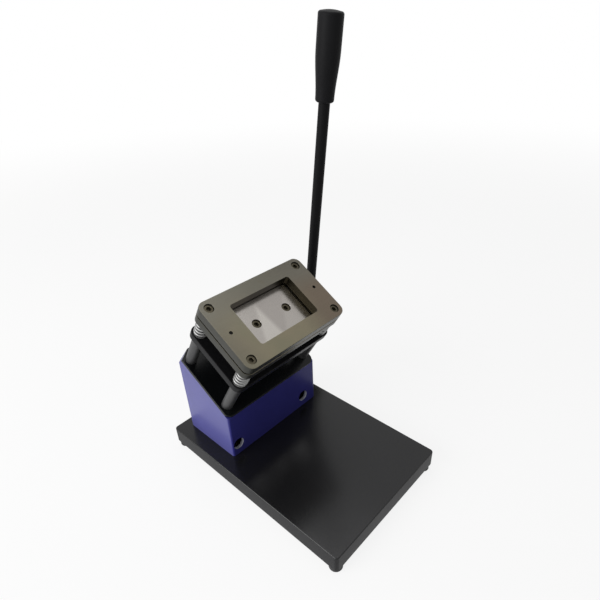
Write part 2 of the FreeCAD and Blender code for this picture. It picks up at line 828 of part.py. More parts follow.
def front_washers():
    rings = []
    for name in ("front_left", "front_right"):
        u, v = post_places[name]
        ring = rod(washer_diameter, point(u, v, guide_top), slot_height)
        rings.append(tilt(ring.cut(rod(m6[2] + 2 * shank_clearance, point(u, v, guide_top), slot_height))))
    return rings


def biarc(start, start_way, end, end_way):
    """Two arcs that join two points along given directions."""
    chord = end - start
    both = start_way + end_way
    a = 2 * (start_way.dot(end_way) - 1)
    b = -2 * chord.dot(both)
    reach = -chord.dot(chord) / b if abs(a) < 1e-9 else (-b - math.sqrt(b * b - 4 * a * chord.dot(chord))) / (2 * a)
    first, second = start + start_way * reach, end - end_way * reach
    joint, joint_way = (first + second) * 0.5, (second - first).normalize()
    arcs = []
    for p, corner, q, way in ((start, first, joint, start_way), (joint, second, end, end_way)):
        half_cos = math.sqrt(max(0.0, (1 + joint_way.dot(way)) / 2))
        arcs.append(Part.Arc(p, ((p + q) * 0.5 + corner * half_cos) * (1 / (1 + half_cos)), q))
    return arcs


def spring_path():
    """The spring's centre line: straight end, coils in half turns, straight end."""
    low, high = carrier_top - carrier_pocket, guide_bottom + guide_pocket
    radius = (spring_outer - spring_wire) / 2
    lead = spring_wire + spring_bend
    turn = 2 * math.pi * spring_turns
    rise = (high - low - 2 * lead) / turn
    entry = spring_bend / radius

    def coil(angle):
        c, s = math.cos(angle), math.sin(angle)
        place = point(radius * c, radius * s, low + lead + rise * angle)
        return place, point(-radius * s, radius * c, rise).normalize()

    def end_point(angle, level):
        return point(radius * math.cos(angle), radius * math.sin(angle), level)

    foot, knee = end_point(-entry, low), end_point(-entry, low + spring_wire)
    shoulder, head = end_point(turn + entry, high - spring_wire), end_point(turn + entry, high)
    parts = [Part.LineSegment(foot, knee)] + biarc(knee, Z, *coil(0))
    steps = round(2 * spring_turns)
    for i in range(steps):
        parts += biarc(*coil(turn * i / steps), *coil(turn * (i + 1) / steps))
    parts += biarc(*coil(turn), shoulder, Z) + [Part.LineSegment(shoulder, head)]
    return parts


def least_gap(parts):
    """The least space between a tube's own turns, measured on points."""
    wire = Part.Wire([p.toShape() for p in parts])
    count = 600
    points = wire.discretize(Number=count)
    apart = math.ceil(4 * spring_wire / (wire.Length / count))
    nearest = min(points[i].distanceToPoint(points[j])
                  for i in range(0, count, 2) for j in range(i + apart, count, 2))
    return nearest - spring_wire


def spring(u, v):
    parts = spring_path()
    wire = Part.Wire([p.toShape() for p in parts])
    section = Part.Wire(Part.makeCircle(spring_wire / 2, parts[0].StartPoint, Z))
    shell = Part.BRepOffsetAPI.MakePipeShell(wire)
    shell.add(section)
    shell.build()
    shell.makeSolid()
    tube = Part.Solid(shell.shape())
    tube.translate(point(u, v, 0))
    return tilt(tube)


def collect():
    """Every node's name with its solids, in the machine frame."""
    nodes = {
        "base_plate": base_plate(), "rubber_feet": rubber_feet(), "foot_screws": foot_screws(),
        "housing": housing(), "housing_bolts": housing_bolts(),
        "deck_plate": deck_plate(), "deck_brackets": deck_brackets(), "deck_screws": deck_screws(),
        "ram_bush": ram_bush(), "ram": ram(), "ram_screw": ram_screw(),
        "bearing_block_left": bearing_block(-1), "bearing_block_right": bearing_block(1),
        "shaft_bush_left": shaft_bush(-1), "shaft_bush_right": shaft_bush(1),
        "block_screws": block_screws(),
        "cam_shaft": cam_shaft(), "cam": cam(), "cam_key": cam_key(),
        "shaft_collars": shaft_collars(), "collar_screws": collar_screws(),
        "outer_bearing": outer_bearing(), "outer_bush": outer_bush(), "bearing_screws": bearing_screws(),
        "lever_hub": lever_hub(), "hub_key": hub_key(), "hub_screw": hub_screw(),
        "lever_rod": lever_rod(), "grip": grip(),
        "carrier_plate": carrier_plate(), "punch": punch(), "punch_screws": punch_screws(),
        "guide_plate": guide_plate(), "rear_spacer": rear_spacer(), "front_washers": front_washers(),
        "die_plate": die_plate(), "die_screws": die_screws(), "dowel_pins": dowel_pins(),
    }
    for name, (u, v) in post_places.items():
        nodes["guide_post_" + name] = guide_post(u, v)
        nodes["carrier_bush_" + name] = carrier_bush(u, v)
        nodes["spring_" + name] = spring(u, v)
    return nodes


def export(nodes):
    os.makedirs("parts", exist_ok=True)
    for name, made in nodes.items():
        solids = made if isinstance(made, list) else [made]
        shape = Part.makeCompound(solids) if len(solids) > 1 else solids[0]
        shape.translate(point(-origin_x, -origin_y, 0))
        shape.exportStep("parts/" + name + ".step")


path = spring_path()
radii = [edge.Curve.Radius for edge in [p.toShape() for p in path] if hasattr(edge.Curve, "Radius")]
print("spring: least gap %.2f mm, least radius %.2f mm" % (least_gap(path), min(radii)))
export(collect())
print("stroke %.2f mm over %.0f degrees" % (stroke, lever_swing))
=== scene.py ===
# %% [markdown]
# # A hand lever die cutter for plastic cards
# The machine stands on a thick black base. A blue box with a slanted rim holds the mechanism, and
# four posts on its black deck carry a stack of steel plates. A card-shaped punch sits in the window
# of the top plate, and the long lever on the right lifts it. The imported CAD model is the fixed
# frame: every piece made here takes its place and size from it.

# %% Load the frame
import bpy
import bmesh
import json
import math
from mathutils import Matrix, Vector


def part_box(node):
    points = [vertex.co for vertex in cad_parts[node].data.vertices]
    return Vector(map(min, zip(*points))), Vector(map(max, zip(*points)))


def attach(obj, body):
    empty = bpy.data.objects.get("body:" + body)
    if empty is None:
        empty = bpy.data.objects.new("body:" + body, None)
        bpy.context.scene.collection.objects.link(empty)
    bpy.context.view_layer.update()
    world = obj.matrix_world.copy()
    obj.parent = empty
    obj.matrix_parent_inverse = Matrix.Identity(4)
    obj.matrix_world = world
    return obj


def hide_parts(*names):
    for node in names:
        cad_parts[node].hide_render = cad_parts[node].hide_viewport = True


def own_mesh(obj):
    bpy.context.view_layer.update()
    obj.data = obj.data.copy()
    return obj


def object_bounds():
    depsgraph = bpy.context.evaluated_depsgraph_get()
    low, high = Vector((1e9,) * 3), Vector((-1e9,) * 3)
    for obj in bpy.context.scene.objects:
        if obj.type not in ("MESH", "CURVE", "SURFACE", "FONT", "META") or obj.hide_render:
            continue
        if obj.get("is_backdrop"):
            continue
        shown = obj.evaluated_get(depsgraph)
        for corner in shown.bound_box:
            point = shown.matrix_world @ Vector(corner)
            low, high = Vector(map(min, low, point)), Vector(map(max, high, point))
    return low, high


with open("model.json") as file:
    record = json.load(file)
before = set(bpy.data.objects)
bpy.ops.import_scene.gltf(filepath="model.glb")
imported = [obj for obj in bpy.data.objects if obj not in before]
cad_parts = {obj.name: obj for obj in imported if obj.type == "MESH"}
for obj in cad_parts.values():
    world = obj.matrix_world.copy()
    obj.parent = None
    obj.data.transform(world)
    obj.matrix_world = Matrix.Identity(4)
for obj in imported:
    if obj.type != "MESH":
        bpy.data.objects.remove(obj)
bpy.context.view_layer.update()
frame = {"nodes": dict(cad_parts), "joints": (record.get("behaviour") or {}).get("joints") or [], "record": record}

MM = 0.001

# %% [markdown]
# ## The die's own frame
# The plates and posts are square to each other but lean back with the rim of the box. Modelling
# them tilted would be awkward, so each is built upright and turned at the end. The lean is the
# direction in which the carriage slides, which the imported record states, so nothing is typed twice.

# %% Find the lean and the die's frame
joints = {joint["name"]: joint for joint in frame["joints"]}
lift = Vector(joints["carriage_lift"]["axis"])
pivot = Vector(joints["lever_swing"]["pos_m"])
slope = math.atan2(-lift.y, lift.z)
plate_low, plate_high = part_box("die_plate")
die_origin = Vector(((plate_low.x + plate_high.x) / 2, pivot.y, pivot.z))
DIE = Matrix.Translation(die_origin) @ Matrix.Rotation(slope, 4, "X")


def span(node, axes=DIE):
    """Lowest and highest corner of a CAD node, measured along the axes of another frame."""
    back = axes.inverted()
    places = [back @ vertex.co for vertex in frame["nodes"][node].data.vertices]
    low = Vector([min(place[i] for place in places) for i in range(3)])
    high = Vector([max(place[i] for place in places) for i in range(3)])
    return low, high


def middle(node, axes=DIE):
    low, high = span(node, axes)
    return (low + high) / 2


print("lean", round(math.degrees(slope), 2), "degrees")

# %% [markdown]
# ## The lever's frame
# The lever leans a few degrees forward. Its direction runs from the shaft to the middle of the
# grip, and that gives the frame in which the rod and the grip are turned upright.

# %% Find the lever's frame
grip_low, grip_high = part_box("grip")
toward_grip = (grip_low + grip_high) / 2 - pivot
lever_lean = math.atan2(-toward_grip.y, toward_grip.z)
lever_origin = Vector(((grip_low.x + grip_high.x) / 2, pivot.y, pivot.z))
LEVER = Matrix.Translation(lever_origin) @ Matrix.Rotation(lever_lean, 4, "X")
print("lever leans", round(math.degrees(lever_lean), 2), "degrees")

# %% [markdown]
# ## Four small tools for making meshes
# Nearly every piece is a block, a turned part or a block with holes. A block starts from
# `create_cube`, a turned part is an outline taken once round by `spin`, and holes are cut by the
# exact Boolean. Real edges are never perfectly sharp, and a thin bevel catches the light, so
# `soften` rounds each edge that turns by more than 30 degrees.


# %% Blocks and bevels
def block(low, high):
    """A closed block between two corners."""
    bm = bmesh.new()
    place = Matrix.Translation((low + high) / 2) @ Matrix.Diagonal((*(high - low), 1))
    bmesh.ops.create_cube(bm, size=1, matrix=place)
    return bm


def bevel(bm, edges, width, segments):
    bmesh.ops.bevel(bm, geom=edges, offset=width, offset_type="OFFSET", segments=segments, profile=0.5,
                    affect="EDGES", material=-1, clamp_overlap=True)


def round_uprights(bm, radius, segments=10):
    """Round the edges that stand along Z."""
    upright = [e for e in bm.edges if abs((e.verts[0].co - e.verts[1].co).normalized().z) > 0.99]
    bevel(bm, upright, radius, segments)


def soften(bm, width, segments=2, sharper_than=30):
    limit = math.radians(sharper_than)
    sharp = [e for e in bm.edges if e.is_manifold and e.calc_face_angle() > limit]
    bevel(bm, sharp, width, segments)


def rim_at(bm, level):
    """The edges that lie at one height."""
    return [e for e in bm.edges if all(abs(v.co.z - level) < 1e-6 for v in e.verts)]


def rounded_block(low, high, corner, segments=10):
    bm = block(low, high)
    round_uprights(bm, corner, segments)
    return bm


# %% Turned parts
def turned(outline, steps=48, closed=False):
    """Spin pairs of radius and height round Z. A ring's outline is closed, a solid's ends on the axis."""
    bm = bmesh.new()
    corners = [bm.verts.new((radius, 0, height)) for radius, height in outline]
    following = corners[1:] + corners[:1] if closed else corners[1:]
    lines = [bm.edges.new(pair) for pair in zip(corners, following)]
    bmesh.ops.spin(bm, geom=corners + lines, cent=(0, 0, 0), axis=(0, 0, 1), angle=2 * math.pi,
                   steps=steps, use_merge=True)
    bmesh.ops.remove_doubles(bm, verts=bm.verts, dist=1e-7)
    bmesh.ops.recalc_face_normals(bm, faces=bm.faces)
    return bm


def drill(radius, low, high, sides=40):
    """The solid of a round hole, or of a hexagonal one with 6 sides."""
    bm = bmesh.new()
    place = Matrix.Translation((0, 0, (low + high) / 2))
    bmesh.ops.create_cone(bm, cap_ends=True, segments=sides, radius1=radius, radius2=radius,
                          depth=high - low, matrix=place)
    return bm


def sliced(bm, point, normal):
    """Cut off what lies beyond a plane and close the cut."""
    cut = bmesh.ops.bisect_plane(bm, geom=bm.verts[:] + bm.edges[:] + bm.faces[:], clear_outer=True,
                                 plane_co=point, plane_no=normal)
    open_edges = [e for e in cut["geom_cut"] if isinstance(e, bmesh.types.BMEdge)]
    bmesh.ops.holes_fill(bm, edges=open_edges, sides=0)
    bmesh.ops.recalc_face_normals(bm, faces=bm.faces)
    return bm


def moved(bm, matrix):
    bmesh.ops.transform(bm, matrix=matrix, verts=bm.verts)
    return bm


def at(x, y, z=0.0):
    return Matrix.Translation((x, y, z))


# %% Cutting and copying
def as_object(bm, name):
    mesh = bpy.data.meshes.new(name)
    bm.to_mesh(mesh)
    bm.free()
    made = bpy.data.objects.new(name, mesh)
    bpy.context.scene.collection.objects.link(made)
    return made


def carve(bm, tools):
    """Cut closed tools out of a closed body with the exact Boolean, and give the result as a bmesh."""
    work = as_object(bm, "work")
    cutters = [as_object(tool, "cutter") for tool in tools]
    for cutter in cutters:
        cut = work.modifiers.new("cut", "BOOLEAN")
        cut.operation, cut.solver, cut.object = "DIFFERENCE", "EXACT", cutter
    carved = bmesh.new()
    carved.from_object(work, bpy.context.evaluated_depsgraph_get())
    for used in [work] + cutters:
        bpy.data.objects.remove(used)
    bmesh.ops.remove_doubles(carved, verts=carved.verts, dist=1e-6)
    bmesh.ops.dissolve_degenerate(carved, dist=1e-6, edges=carved.edges)
    return carved


def joined(*parts):
    """One bmesh that holds several closed solids."""
    together = bmesh.new()
    for part in parts:
        mesh = bpy.data.meshes.new("part")
        part.to_mesh(mesh)
        part.free()
        together.from_mesh(mesh)
        bpy.data.meshes.remove(mesh)
    return together


def repeated(bm, places):
    """One bmesh that holds a copy at each place."""
    return joined(*[moved(bm.copy(), place) for place in places])


# %% [markdown]
# ## From bmesh to piece
# A piece is shown in the machine's frame with its object at the origin, so its place goes into
# the mesh. Smooth shading with sharp edges marked, and normals weighted by face size, keeps the
# large faces flat while the thin bevels round off. Each piece stands for the CAD nodes it
# replaces and rides on the same body.

# %% Make a finished piece
body_of = {node: body for body, nodes in frame["record"]["behaviour"]["bodies"].items() for node in nodes}
slot_of = {part["node"]: part["material_slot"] for part in frame["record"]["subparts"]}


def piece(bm, name, material, node, axes=Matrix.Identity(4), smooth_below=40, others=()):
    """Turn a bmesh into the piece that stands for a CAD node. Faces with an index use the others."""
    made = as_object(moved(bm, axes), name)
    made.data.polygons.foreach_set("use_smooth", [True] * len(made.data.polygons))
    made.data.set_sharp_from_angle(angle=math.radians(smooth_below))
    for finish in (material, *others):
        made.data.materials.append(finish)
    weigh = made.modifiers.new("weighted normals", "WEIGHTED_NORMAL")
    weigh.keep_sharp = True
    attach(made, body_of[node])
    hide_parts(node)
    print(name, len(made.data.polygons), "faces")
    return made


# %% [markdown]
# ## Shader sums written as sums
# A material here is a short formula. `Wired` wraps one output socket and turns `+`, `-` and `*`
# into Math nodes, so that a mask can be written as `1 - edge`. `Finish` holds one material:
# its `node` method sets a node's settings first and then fills or links its sockets.


# %% The two shader classes
class Wired:
    """An output socket that takes part in sums as a number does."""

    def __init__(self, finish, socket):
        self.finish, self.socket = finish, socket

    def join(self, operation, first, second):
        return self.finish.node("Math", {"operation": operation}, {0: first, 1: second})

    def __add__(self, other):
        return self.join("ADD", self, other)

    def __sub__(self, other):
        return self.join("SUBTRACT", self, other)

    def __rsub__(self, other):
        return self.join("SUBTRACT", other, self)

    def __mul__(self, other):
        return self.join("MULTIPLY", self, other)

    __radd__ = __add__
    __rmul__ = __mul__

    def at_least(self, other):
        return self.join("MAXIMUM", self, other)

    def step(self, low, high):
        """0 below low, 1 above high, and a smooth rise between."""
        settings = {"interpolation_type": "SMOOTHSTEP", "clamp": True}
        return self.finish.node("MapRange", settings, {"Value": self, "From Min": low, "From Max": high})


class Finish:
    """One material, built round its own Principled shader."""

    def __init__(self, name, **constants):
        self.material = bpy.data.materials.new(name)
        self.material.use_nodes = True
        self.nodes = self.material.node_tree.nodes
        self.links = self.material.node_tree.links
        self.shader = self.nodes["Principled BSDF"]
        for socket, value in constants.items():
            self.plug(self.shader.inputs[socket.replace("_", " ")], value)
        self.place = self.node("TexCoord", {}, {}, "Object")

    def plug(self, socket, value):
        if isinstance(value, Wired):
            self.links.new(value.socket, socket)
        elif socket.type == "RGBA":
            socket.default_value = (*value, 1)
        else:
            socket.default_value = value

    def node(self, kind, settings, sockets, output=0):
        made = self.nodes.new("ShaderNode" + kind)
        for setting, value in settings.items():
            setattr(made, setting, value)
        for key, value in sockets.items():
            self.plug(made.inputs[key], value)
        return Wired(self, made.outputs[output])

    def stretched(self, scale, axes):
        """Object coordinates in a turned frame, scaled by a different amount along each axis."""
        turn = {"Vector": self.place, "Location": axes.to_translation(), "Rotation": axes.to_euler()}
        place = self.node("Mapping", {"vector_type": "TEXTURE"}, turn)
        return self.node("Mapping", {"vector_type": "POINT"}, {"Vector": place, "Scale": scale})

    def noise(self, scale, detail=2.0, place=None, roughness=0.5):
        """Soft noise around 0.5, at a number of bumps per metre."""
        sockets = {"Vector": place or self.place, "Scale": scale, "Detail": detail, "Roughness": roughness}
        return self.node("TexNoise", {}, sockets, "Fac")

    def blend(self, factor, first, second):
        """A colour between two colours."""
        return self.node("Mix", {"data_type": "RGBA"}, {0: factor, 6: first, 7: second}, 2)

    def wear(self, width):
        """A mask that is 1 along outer edges, found where a rounded normal leaves the true one."""
        rounded = self.node("Bevel", {"samples": 6}, {"Radius": width})
        true = self.node("NewGeometry", {}, {}, "Normal")
        facing = self.node("VectorMath", {"operation": "DOT_PRODUCT"}, {0: rounded, 1: true}, "Value")
        return (1 - facing).step(0.02, 0.2)

    def finish(self, colour=None, roughness=None, height=None, depth=0.0):
        """Link what varies over the surface. Depth is the bump's height in metres."""
        varying = {"Base Color": colour, "Roughness": roughness}
        for socket, value in varying.items():
            if value is not None:
                self.plug(self.shader.inputs[socket], value)
        if height is not None:
            bump = self.node("Bump", {}, {"Strength": 1.0, "Distance": depth, "Height": height})
            self.plug(self.shader.inputs["Normal"], bump)
        return self.material


# %% [markdown]
# ## Painted steel
# The base is powder coated: a black skin with the faint dimples called orange peel, dull where dust lies. The box
# is a glossier dark blue enamel. Both coats thin out on the edges, where the steel's grey comes through, so each
# colour is blended towards bare metal by the wear mask. The box's two ends have a paler enamel, and the base's
# sides a paler black coat: both are painted light, standing for the light that falls on those faces.


# %% Black and blue coats
def coated(name, colour, worn, roughness, dimples, depth, wear_width, dust=0.0, **constants):
    """A sprayed coat with orange peel, faint clouds of sheen, a little dust and paler edges."""
    coat = Finish(name, **constants)
    peel = coat.noise(dimples, 3.0)
    clouds = coat.noise(14.0, 4.0)
    specks = coat.noise(700.0, 5.0, roughness=0.7).step(0.6, 0.74)
    edge = coat.wear(wear_width) * coat.noise(160.0, 4.0).step(0.35, 0.65)
    shade = coat.blend(clouds, [0.85 * c for c in colour], [1.15 * c for c in colour])
    dusty = coat.blend(specks * dust, shade, (0.2, 0.2, 0.2))
    sheen = roughness - 0.05 + 0.10 * clouds + 0.08 * specks
    return coat.finish(coat.blend(edge * 0.5, dusty, worn), sheen, peel, depth)


base_coat = coated("black powder coat", (0.006, 0.006, 0.0068), (0.07, 0.07, 0.07), 0.24, 900.0, 0.00003,
                   0.0006, dust=0.03, Specular_IOR_Level=0.34)
# A paler copy of the black coat for the base's sides: painted light from the bright floor, on a rougher, less
# shiny surface.
painted_light_side_coat = coated("black coat with painted light on the sides", (0.010, 0.010, 0.011), (0.07, 0.07, 0.07), 0.44,
                   700.0, 0.00005, 0.0006, dust=0.05, Specular_IOR_Level=0.12)
housing_enamel = coated("dark blue enamel", (0.032, 0.032, 0.190), (0.13, 0.13, 0.28), 0.34, 500.0,
                        0.00002, 0.0005, Specular_IOR_Level=0.12, Coat_Weight=0.04, Coat_Roughness=0.16)
# A paler, glossier copy of the blue enamel for the box's two ends: painted light, standing for the lamp's light
# falling on them.
painted_light_end_enamel = coated("blue enamel with painted light on the ends", (0.074, 0.074, 0.235), (0.15, 0.15, 0.28),
                      0.34, 500.0, 0.00002, 0.0005, Specular_IOR_Level=0.26, Coat_Weight=0.08,
                      Coat_Roughness=0.16)
lever_coat = coated("black lever paint", (0.006, 0.006, 0.0065), (0.04, 0.04, 0.04), 0.46,
                    1100.0, 0.00003, 0.0004, Specular_IOR_Level=0.05)
bearing_coat = coated("black bearing paint", (0.010, 0.010, 0.011), (0.06, 0.06, 0.06), 0.38,
                      800.0, 0.00005, 0.0005, Specular_IOR_Level=0.3)
print("coats", base_coat.name, housing_enamel.name, lever_coat.name)

# %% [markdown]
# ## Ground steel
# The plates are tool steel, finished on a surface grinder: fine straight scratches all one way,
# and a brown and green cast from oil and heat. Noise that is stretched hard along one axis makes
# the scratches. They change the roughness and lift the surface by a few hundredths of a
# millimetre, and slower noise stains the colour.


# %% Steel finishes
def ground_steel(name, colours, roughness, scratch, axes, depth=0.00001, stain=16.0, tints=(),
                 metallic=1.0):
    """Bare steel with scratches along one axis of a frame. Scratch holds lines per metre on each axis.

    A tint is an axis of the frame, the place where it starts, the place where it is full, and its colour.
    """
    steel = Finish(name, Metallic=metallic)
    lines = steel.noise(1.0, 3.0, steel.stretched(scratch, axes), 0.6)
    clouds = steel.noise(stain, 3.0)
    spots = steel.noise(95.0, 4.0).step(0.6, 0.75)
    shade = steel.blend(clouds.step(0.35, 0.65), colours[0], colours[1])
    for axis, start, full, tint in tints:
        along = steel.node("SeparateXYZ", {}, {"Vector": steel.stretched((1, 1, 1), axes)}, axis)
        shade = steel.blend((along + 0.03 * clouds).step(start, full) * 0.85, shade, tint)
    darker = steel.blend(spots * 0.25, shade, [0.6 * c for c in colours[0]])
    lined = steel.blend(lines * 0.25, darker, [1.5 * c for c in colours[1]])
    sheen = roughness - 0.08 + 0.16 * lines + 0.06 * clouds
    return steel.finish(lined, sheen, lines, depth)


along_u = (6.0, 2600.0, 2600.0)
round_axis = (30.0, 30.0, 2600.0)
# Tints by place on the die plate: darker and browner towards the right end, darker towards the left end, and
# greyer towards the rear.
end_and_rear_tints = [("X", 0.025, 0.070, (0.112, 0.084, 0.068)), ("X", -0.020, -0.066, (0.106, 0.098, 0.080)),
                ("Y", 0.008, 0.050, (0.116, 0.112, 0.098))]
die_steel = ground_steel("ground die steel", [(0.185, 0.158, 0.112), (0.150, 0.140, 0.098)], 0.34,
                         along_u, DIE, tints=end_and_rear_tints)
side_steel = ground_steel("milled plate side", [(0.062, 0.061, 0.054), (0.046, 0.047, 0.041)], 0.40,
                          along_u, DIE)
blade_steel = ground_steel("tempered window wall", [(0.062, 0.052, 0.030), (0.040, 0.036, 0.024)], 0.34,
                           (2600.0, 2600.0, 20.0), DIE)
post_steel = ground_steel("dull post steel", [(0.095, 0.095, 0.095), (0.075, 0.075, 0.077)], 0.48,
                          round_axis, DIE)
shaft_steel = ground_steel("bright shaft steel", [(0.42, 0.42, 0.42), (0.34, 0.34, 0.34)], 0.26,
                           (2600.0, 30.0, 30.0), Matrix.Identity(4))
cam_steel = ground_steel("hardened cam steel", [(0.30, 0.27, 0.22), (0.22, 0.20, 0.18)], 0.3, along_u, DIE)
# The access holes' walls: a pale, bright colour that is a painted highlight for the glint inside them.
painted_glint_bore = ground_steel("pale bore with painted glint", [(0.55, 0.56, 0.62), (0.40, 0.41, 0.48)], 0.5,
                         (900.0, 30.0, 900.0), Matrix.Identity(4), metallic=0.2)
bare_edge = ground_steel("bare ground edge", [(0.40, 0.40, 0.39), (0.33, 0.33, 0.32)], 0.5, along_u, DIE,
                         metallic=0.3)
print("steels", die_steel.name, side_steel.name, post_steel.name)

# %% [markdown]
# ## The punch's polish
# The punch is lapped almost to a mirror, with scratches finer than the grinder's. Its colour also holds a painted
# reflection: a bright band and a dark band, each bounded by slanted soft straight lines like the edge of a soft
# lamp, kept faint.

# %% Polished punch
lapped = Finish("lapped punch steel", Metallic=1.0)
strokes = lapped.noise(1.0, 3.0, lapped.stretched((14.0, 3200.0, 3200.0), DIE), 0.6)


def facet(turn, start, end):
    """A straight-edged band of the painted reflection: 0 on one side of a slanted line across the punch and 1 on
    the other.
    """
    across = lapped.stretched((1, 1, 1), DIE @ Matrix.Rotation(math.radians(turn), 4, "Z"))
    along = lapped.node("SeparateXYZ", {}, {"Vector": across}, "X")
    return along.step(start * MM, end * MM)


# Painted reflection: a bright band and a dark band with soft straight edges, standing for a soft lamp seen in the
# polished top.
painted_bright_band = facet(-24, -19.0, -13.0) * (1 - facet(6, -10.0, -3.0))
painted_dark_band = facet(6, -10.0, -3.0) * (1 - facet(-34, 12.0, 18.0))
painted_reflection = 0.5 + 0.45 * painted_bright_band - 0.2 * painted_dark_band
painted_reflection_colour = lapped.blend(painted_reflection, (0.26, 0.238, 0.224), (0.44, 0.418, 0.388))
punch_steel = lapped.finish(painted_reflection_colour, 0.16 + 0.10 * strokes + 0.04 * painted_reflection, strokes, 0.000003)
print("polish", punch_steel.name)


# %% [markdown]
# ## Black oxide, bronze, zinc, rubber and plastic
# The screws and the carrier plate are blackened: steel under a thin dark skin that still shines.
# The bushes are sintered bronze, with pores. The springs are bright plated wire. The feet are
# rubber and the grip a moulded plastic with a fine spark-eroded texture.


# %% Blackened steel
def blackened(name, colour, roughness, **constants):
    oxide = Finish(name, **constants)
    mottle = oxide.noise(240.0, 4.0)
    rubbed = oxide.wear(0.0003)
    shade = oxide.blend(mottle, [0.7 * c for c in colour], [1.3 * c for c in colour])
    return oxide.finish(oxide.blend(rubbed * 0.5, shade, (0.12, 0.10, 0.08)),
                        roughness - 0.08 + 0.16 * mottle, mottle, 0.000008)


screw_black = blackened("black oxide screws", (0.075, 0.066, 0.045), 0.40, Metallic=0.9)
carrier_black = blackened("black oxide carrier", (0.010, 0.010, 0.011), 0.36, Metallic=0.2,
                          Specular_IOR_Level=0.06)

# %% Bronze, iron, zinc, spring wire and rubber
bronze = Finish("sintered bronze", Metallic=1.0)
pores = bronze.noise(2400.0, 2.0).step(0.62, 0.7)
bronze_colour = bronze.blend(pores, (0.55, 0.36, 0.18), (0.2, 0.12, 0.06))
bush_bronze = bronze.finish(bronze_colour, 0.34 + 0.3 * pores, 1 - pores, 0.00003)


def mottled(name, bumps, detail, dark, pale, roughness, spread, depth, softness=0.5, **constants):
    """A finish whose colour, sheen and surface all follow one noise."""
    plain = Finish(name, **constants)
    grain = plain.noise(bumps, detail, roughness=softness)
    return plain.finish(plain.blend(grain, dark, pale), roughness + spread * grain, grain, depth)


block_iron = mottled("machined iron", 700.0, 5.0, (0.07, 0.07, 0.07), (0.15, 0.15, 0.155), 0.4, 0.2,
                     0.00003, 0.7, Metallic=0.9)
screw_zinc = mottled("zinc plate", 300.0, 3.0, (0.48, 0.49, 0.5), (0.66, 0.67, 0.68), 0.25, 0.15,
                     0.000006, Metallic=1.0)
spring_wire = mottled("bright spring wire", 900.0, 3.0, (0.23, 0.23, 0.23), (0.31, 0.31, 0.305), 0.42, 0.16,
                      0.000008, Metallic=1.0)
foot_rubber = mottled("black rubber", 1500.0, 3.0, (0.012, 0.012, 0.012), (0.03, 0.03, 0.03), 0.7, 0.15,
                      0.00005)

# %% Grip plastic and the deck's black gloss
plastic = Finish("moulded black grip", Specular_IOR_Level=0.05)
texture = plastic.noise(2600.0, 2.0)
handled = plastic.noise(34.0, 4.0)
grip_plastic = plastic.finish(plastic.blend(handled, (0.006, 0.006, 0.0065), (0.010, 0.010, 0.011)),
                              0.40 + 0.16 * handled, texture, 0.00004)

gloss = Finish("black deck gloss", Specular_IOR_Level=0.16, Coat_Weight=0.08, Coat_Roughness=0.12)
smears = gloss.noise(26.0, 5.0)
specks = gloss.noise(1200.0, 2.0).step(0.7, 0.76)
rubbed_rim = gloss.wear(0.0006) * gloss.noise(120.0, 3.0).step(0.3, 0.7)
inked = gloss.blend(specks * 0.3, (0.003, 0.0035, 0.004), (0.03, 0.03, 0.03))
deck_gloss = gloss.finish(gloss.blend(rubbed_rim * 0.6, inked, (0.10, 0.11, 0.11)), 0.16 + 0.16 * smears,
                          smears, 0.00001)
print("soft finishes", foot_rubber.name, grip_plastic.name, deck_gloss.name)

# %% [markdown]
# ## Inner parts keep their CAD mesh
# Shaft, cam, bushes and blocks sit inside the closed box. Their CAD shape is already right, so
# they only get a finish: the slot that each node has in the record picks it.

# %% Dress every CAD node
finish_of_slot = {
    "base_coat": base_coat, "housing_paint": housing_enamel, "deck_coat": deck_gloss,
    "foot_rubber": foot_rubber, "screw_steel": screw_zinc, "black_screw": screw_black,
    "block_iron": block_iron, "bearing_coat": bearing_coat, "lever_coat": lever_coat,
    "grip_plastic": grip_plastic, "bush_bronze": bush_bronze, "shaft_steel": shaft_steel,
    "cam_steel": cam_steel, "die_steel": die_steel, "punch_steel": punch_steel,
    "post_steel": post_steel, "spring_steel": spring_wire,
}
for node, shown in frame["nodes"].items():
    for slot in shown.material_slots:
        slot.material = finish_of_slot[slot_of[node]]
print(len(frame["nodes"]), "CAD nodes dressed")

# %% [markdown]
# ## The base
# A heavy slab, sawn and milled and then coated, with its four corners rounded and its top edge
# broken by a small radius. It is one block: bevelled uprights make the corners, then a bevel of
# all the edges left makes the soft rim that shows as a pale line along the front.

# %% Base plate and feet
base_corner = 4 * MM
base_low, base_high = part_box("base_plate")
base = rounded_block(base_low, base_high, base_corner)
soften(base, 1.2 * MM, 3)
bolt_seat, bolt_hole, bolt_sink = 7.2 * MM, 4.3 * MM, 9.5 * MM
bolt_low, bolt_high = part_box("housing_bolts")
bolt_margin = 6.5 * MM
base_holes = []
for x in (bolt_low.x + bolt_margin, bolt_high.x - bolt_margin):
    for y in (bolt_low.y + bolt_margin, bolt_high.y - bolt_margin):
        base_holes.append(moved(drill(bolt_seat, base_low.z - MM, base_low.z + bolt_sink), at(x, y)))
        base_holes.append(moved(drill(bolt_hole, base_low.z, base_high.z + MM), at(x, y)))
base = carve(base, base_holes)
base.normal_update()
# The sides get the paler coat, which is painted light.
for face in base.faces:
    if abs(face.normal.z) < 0.5:
        face.material_index = 1
piece(base, "base_slab", base_coat, "base_plate", others=[painted_light_side_coat])

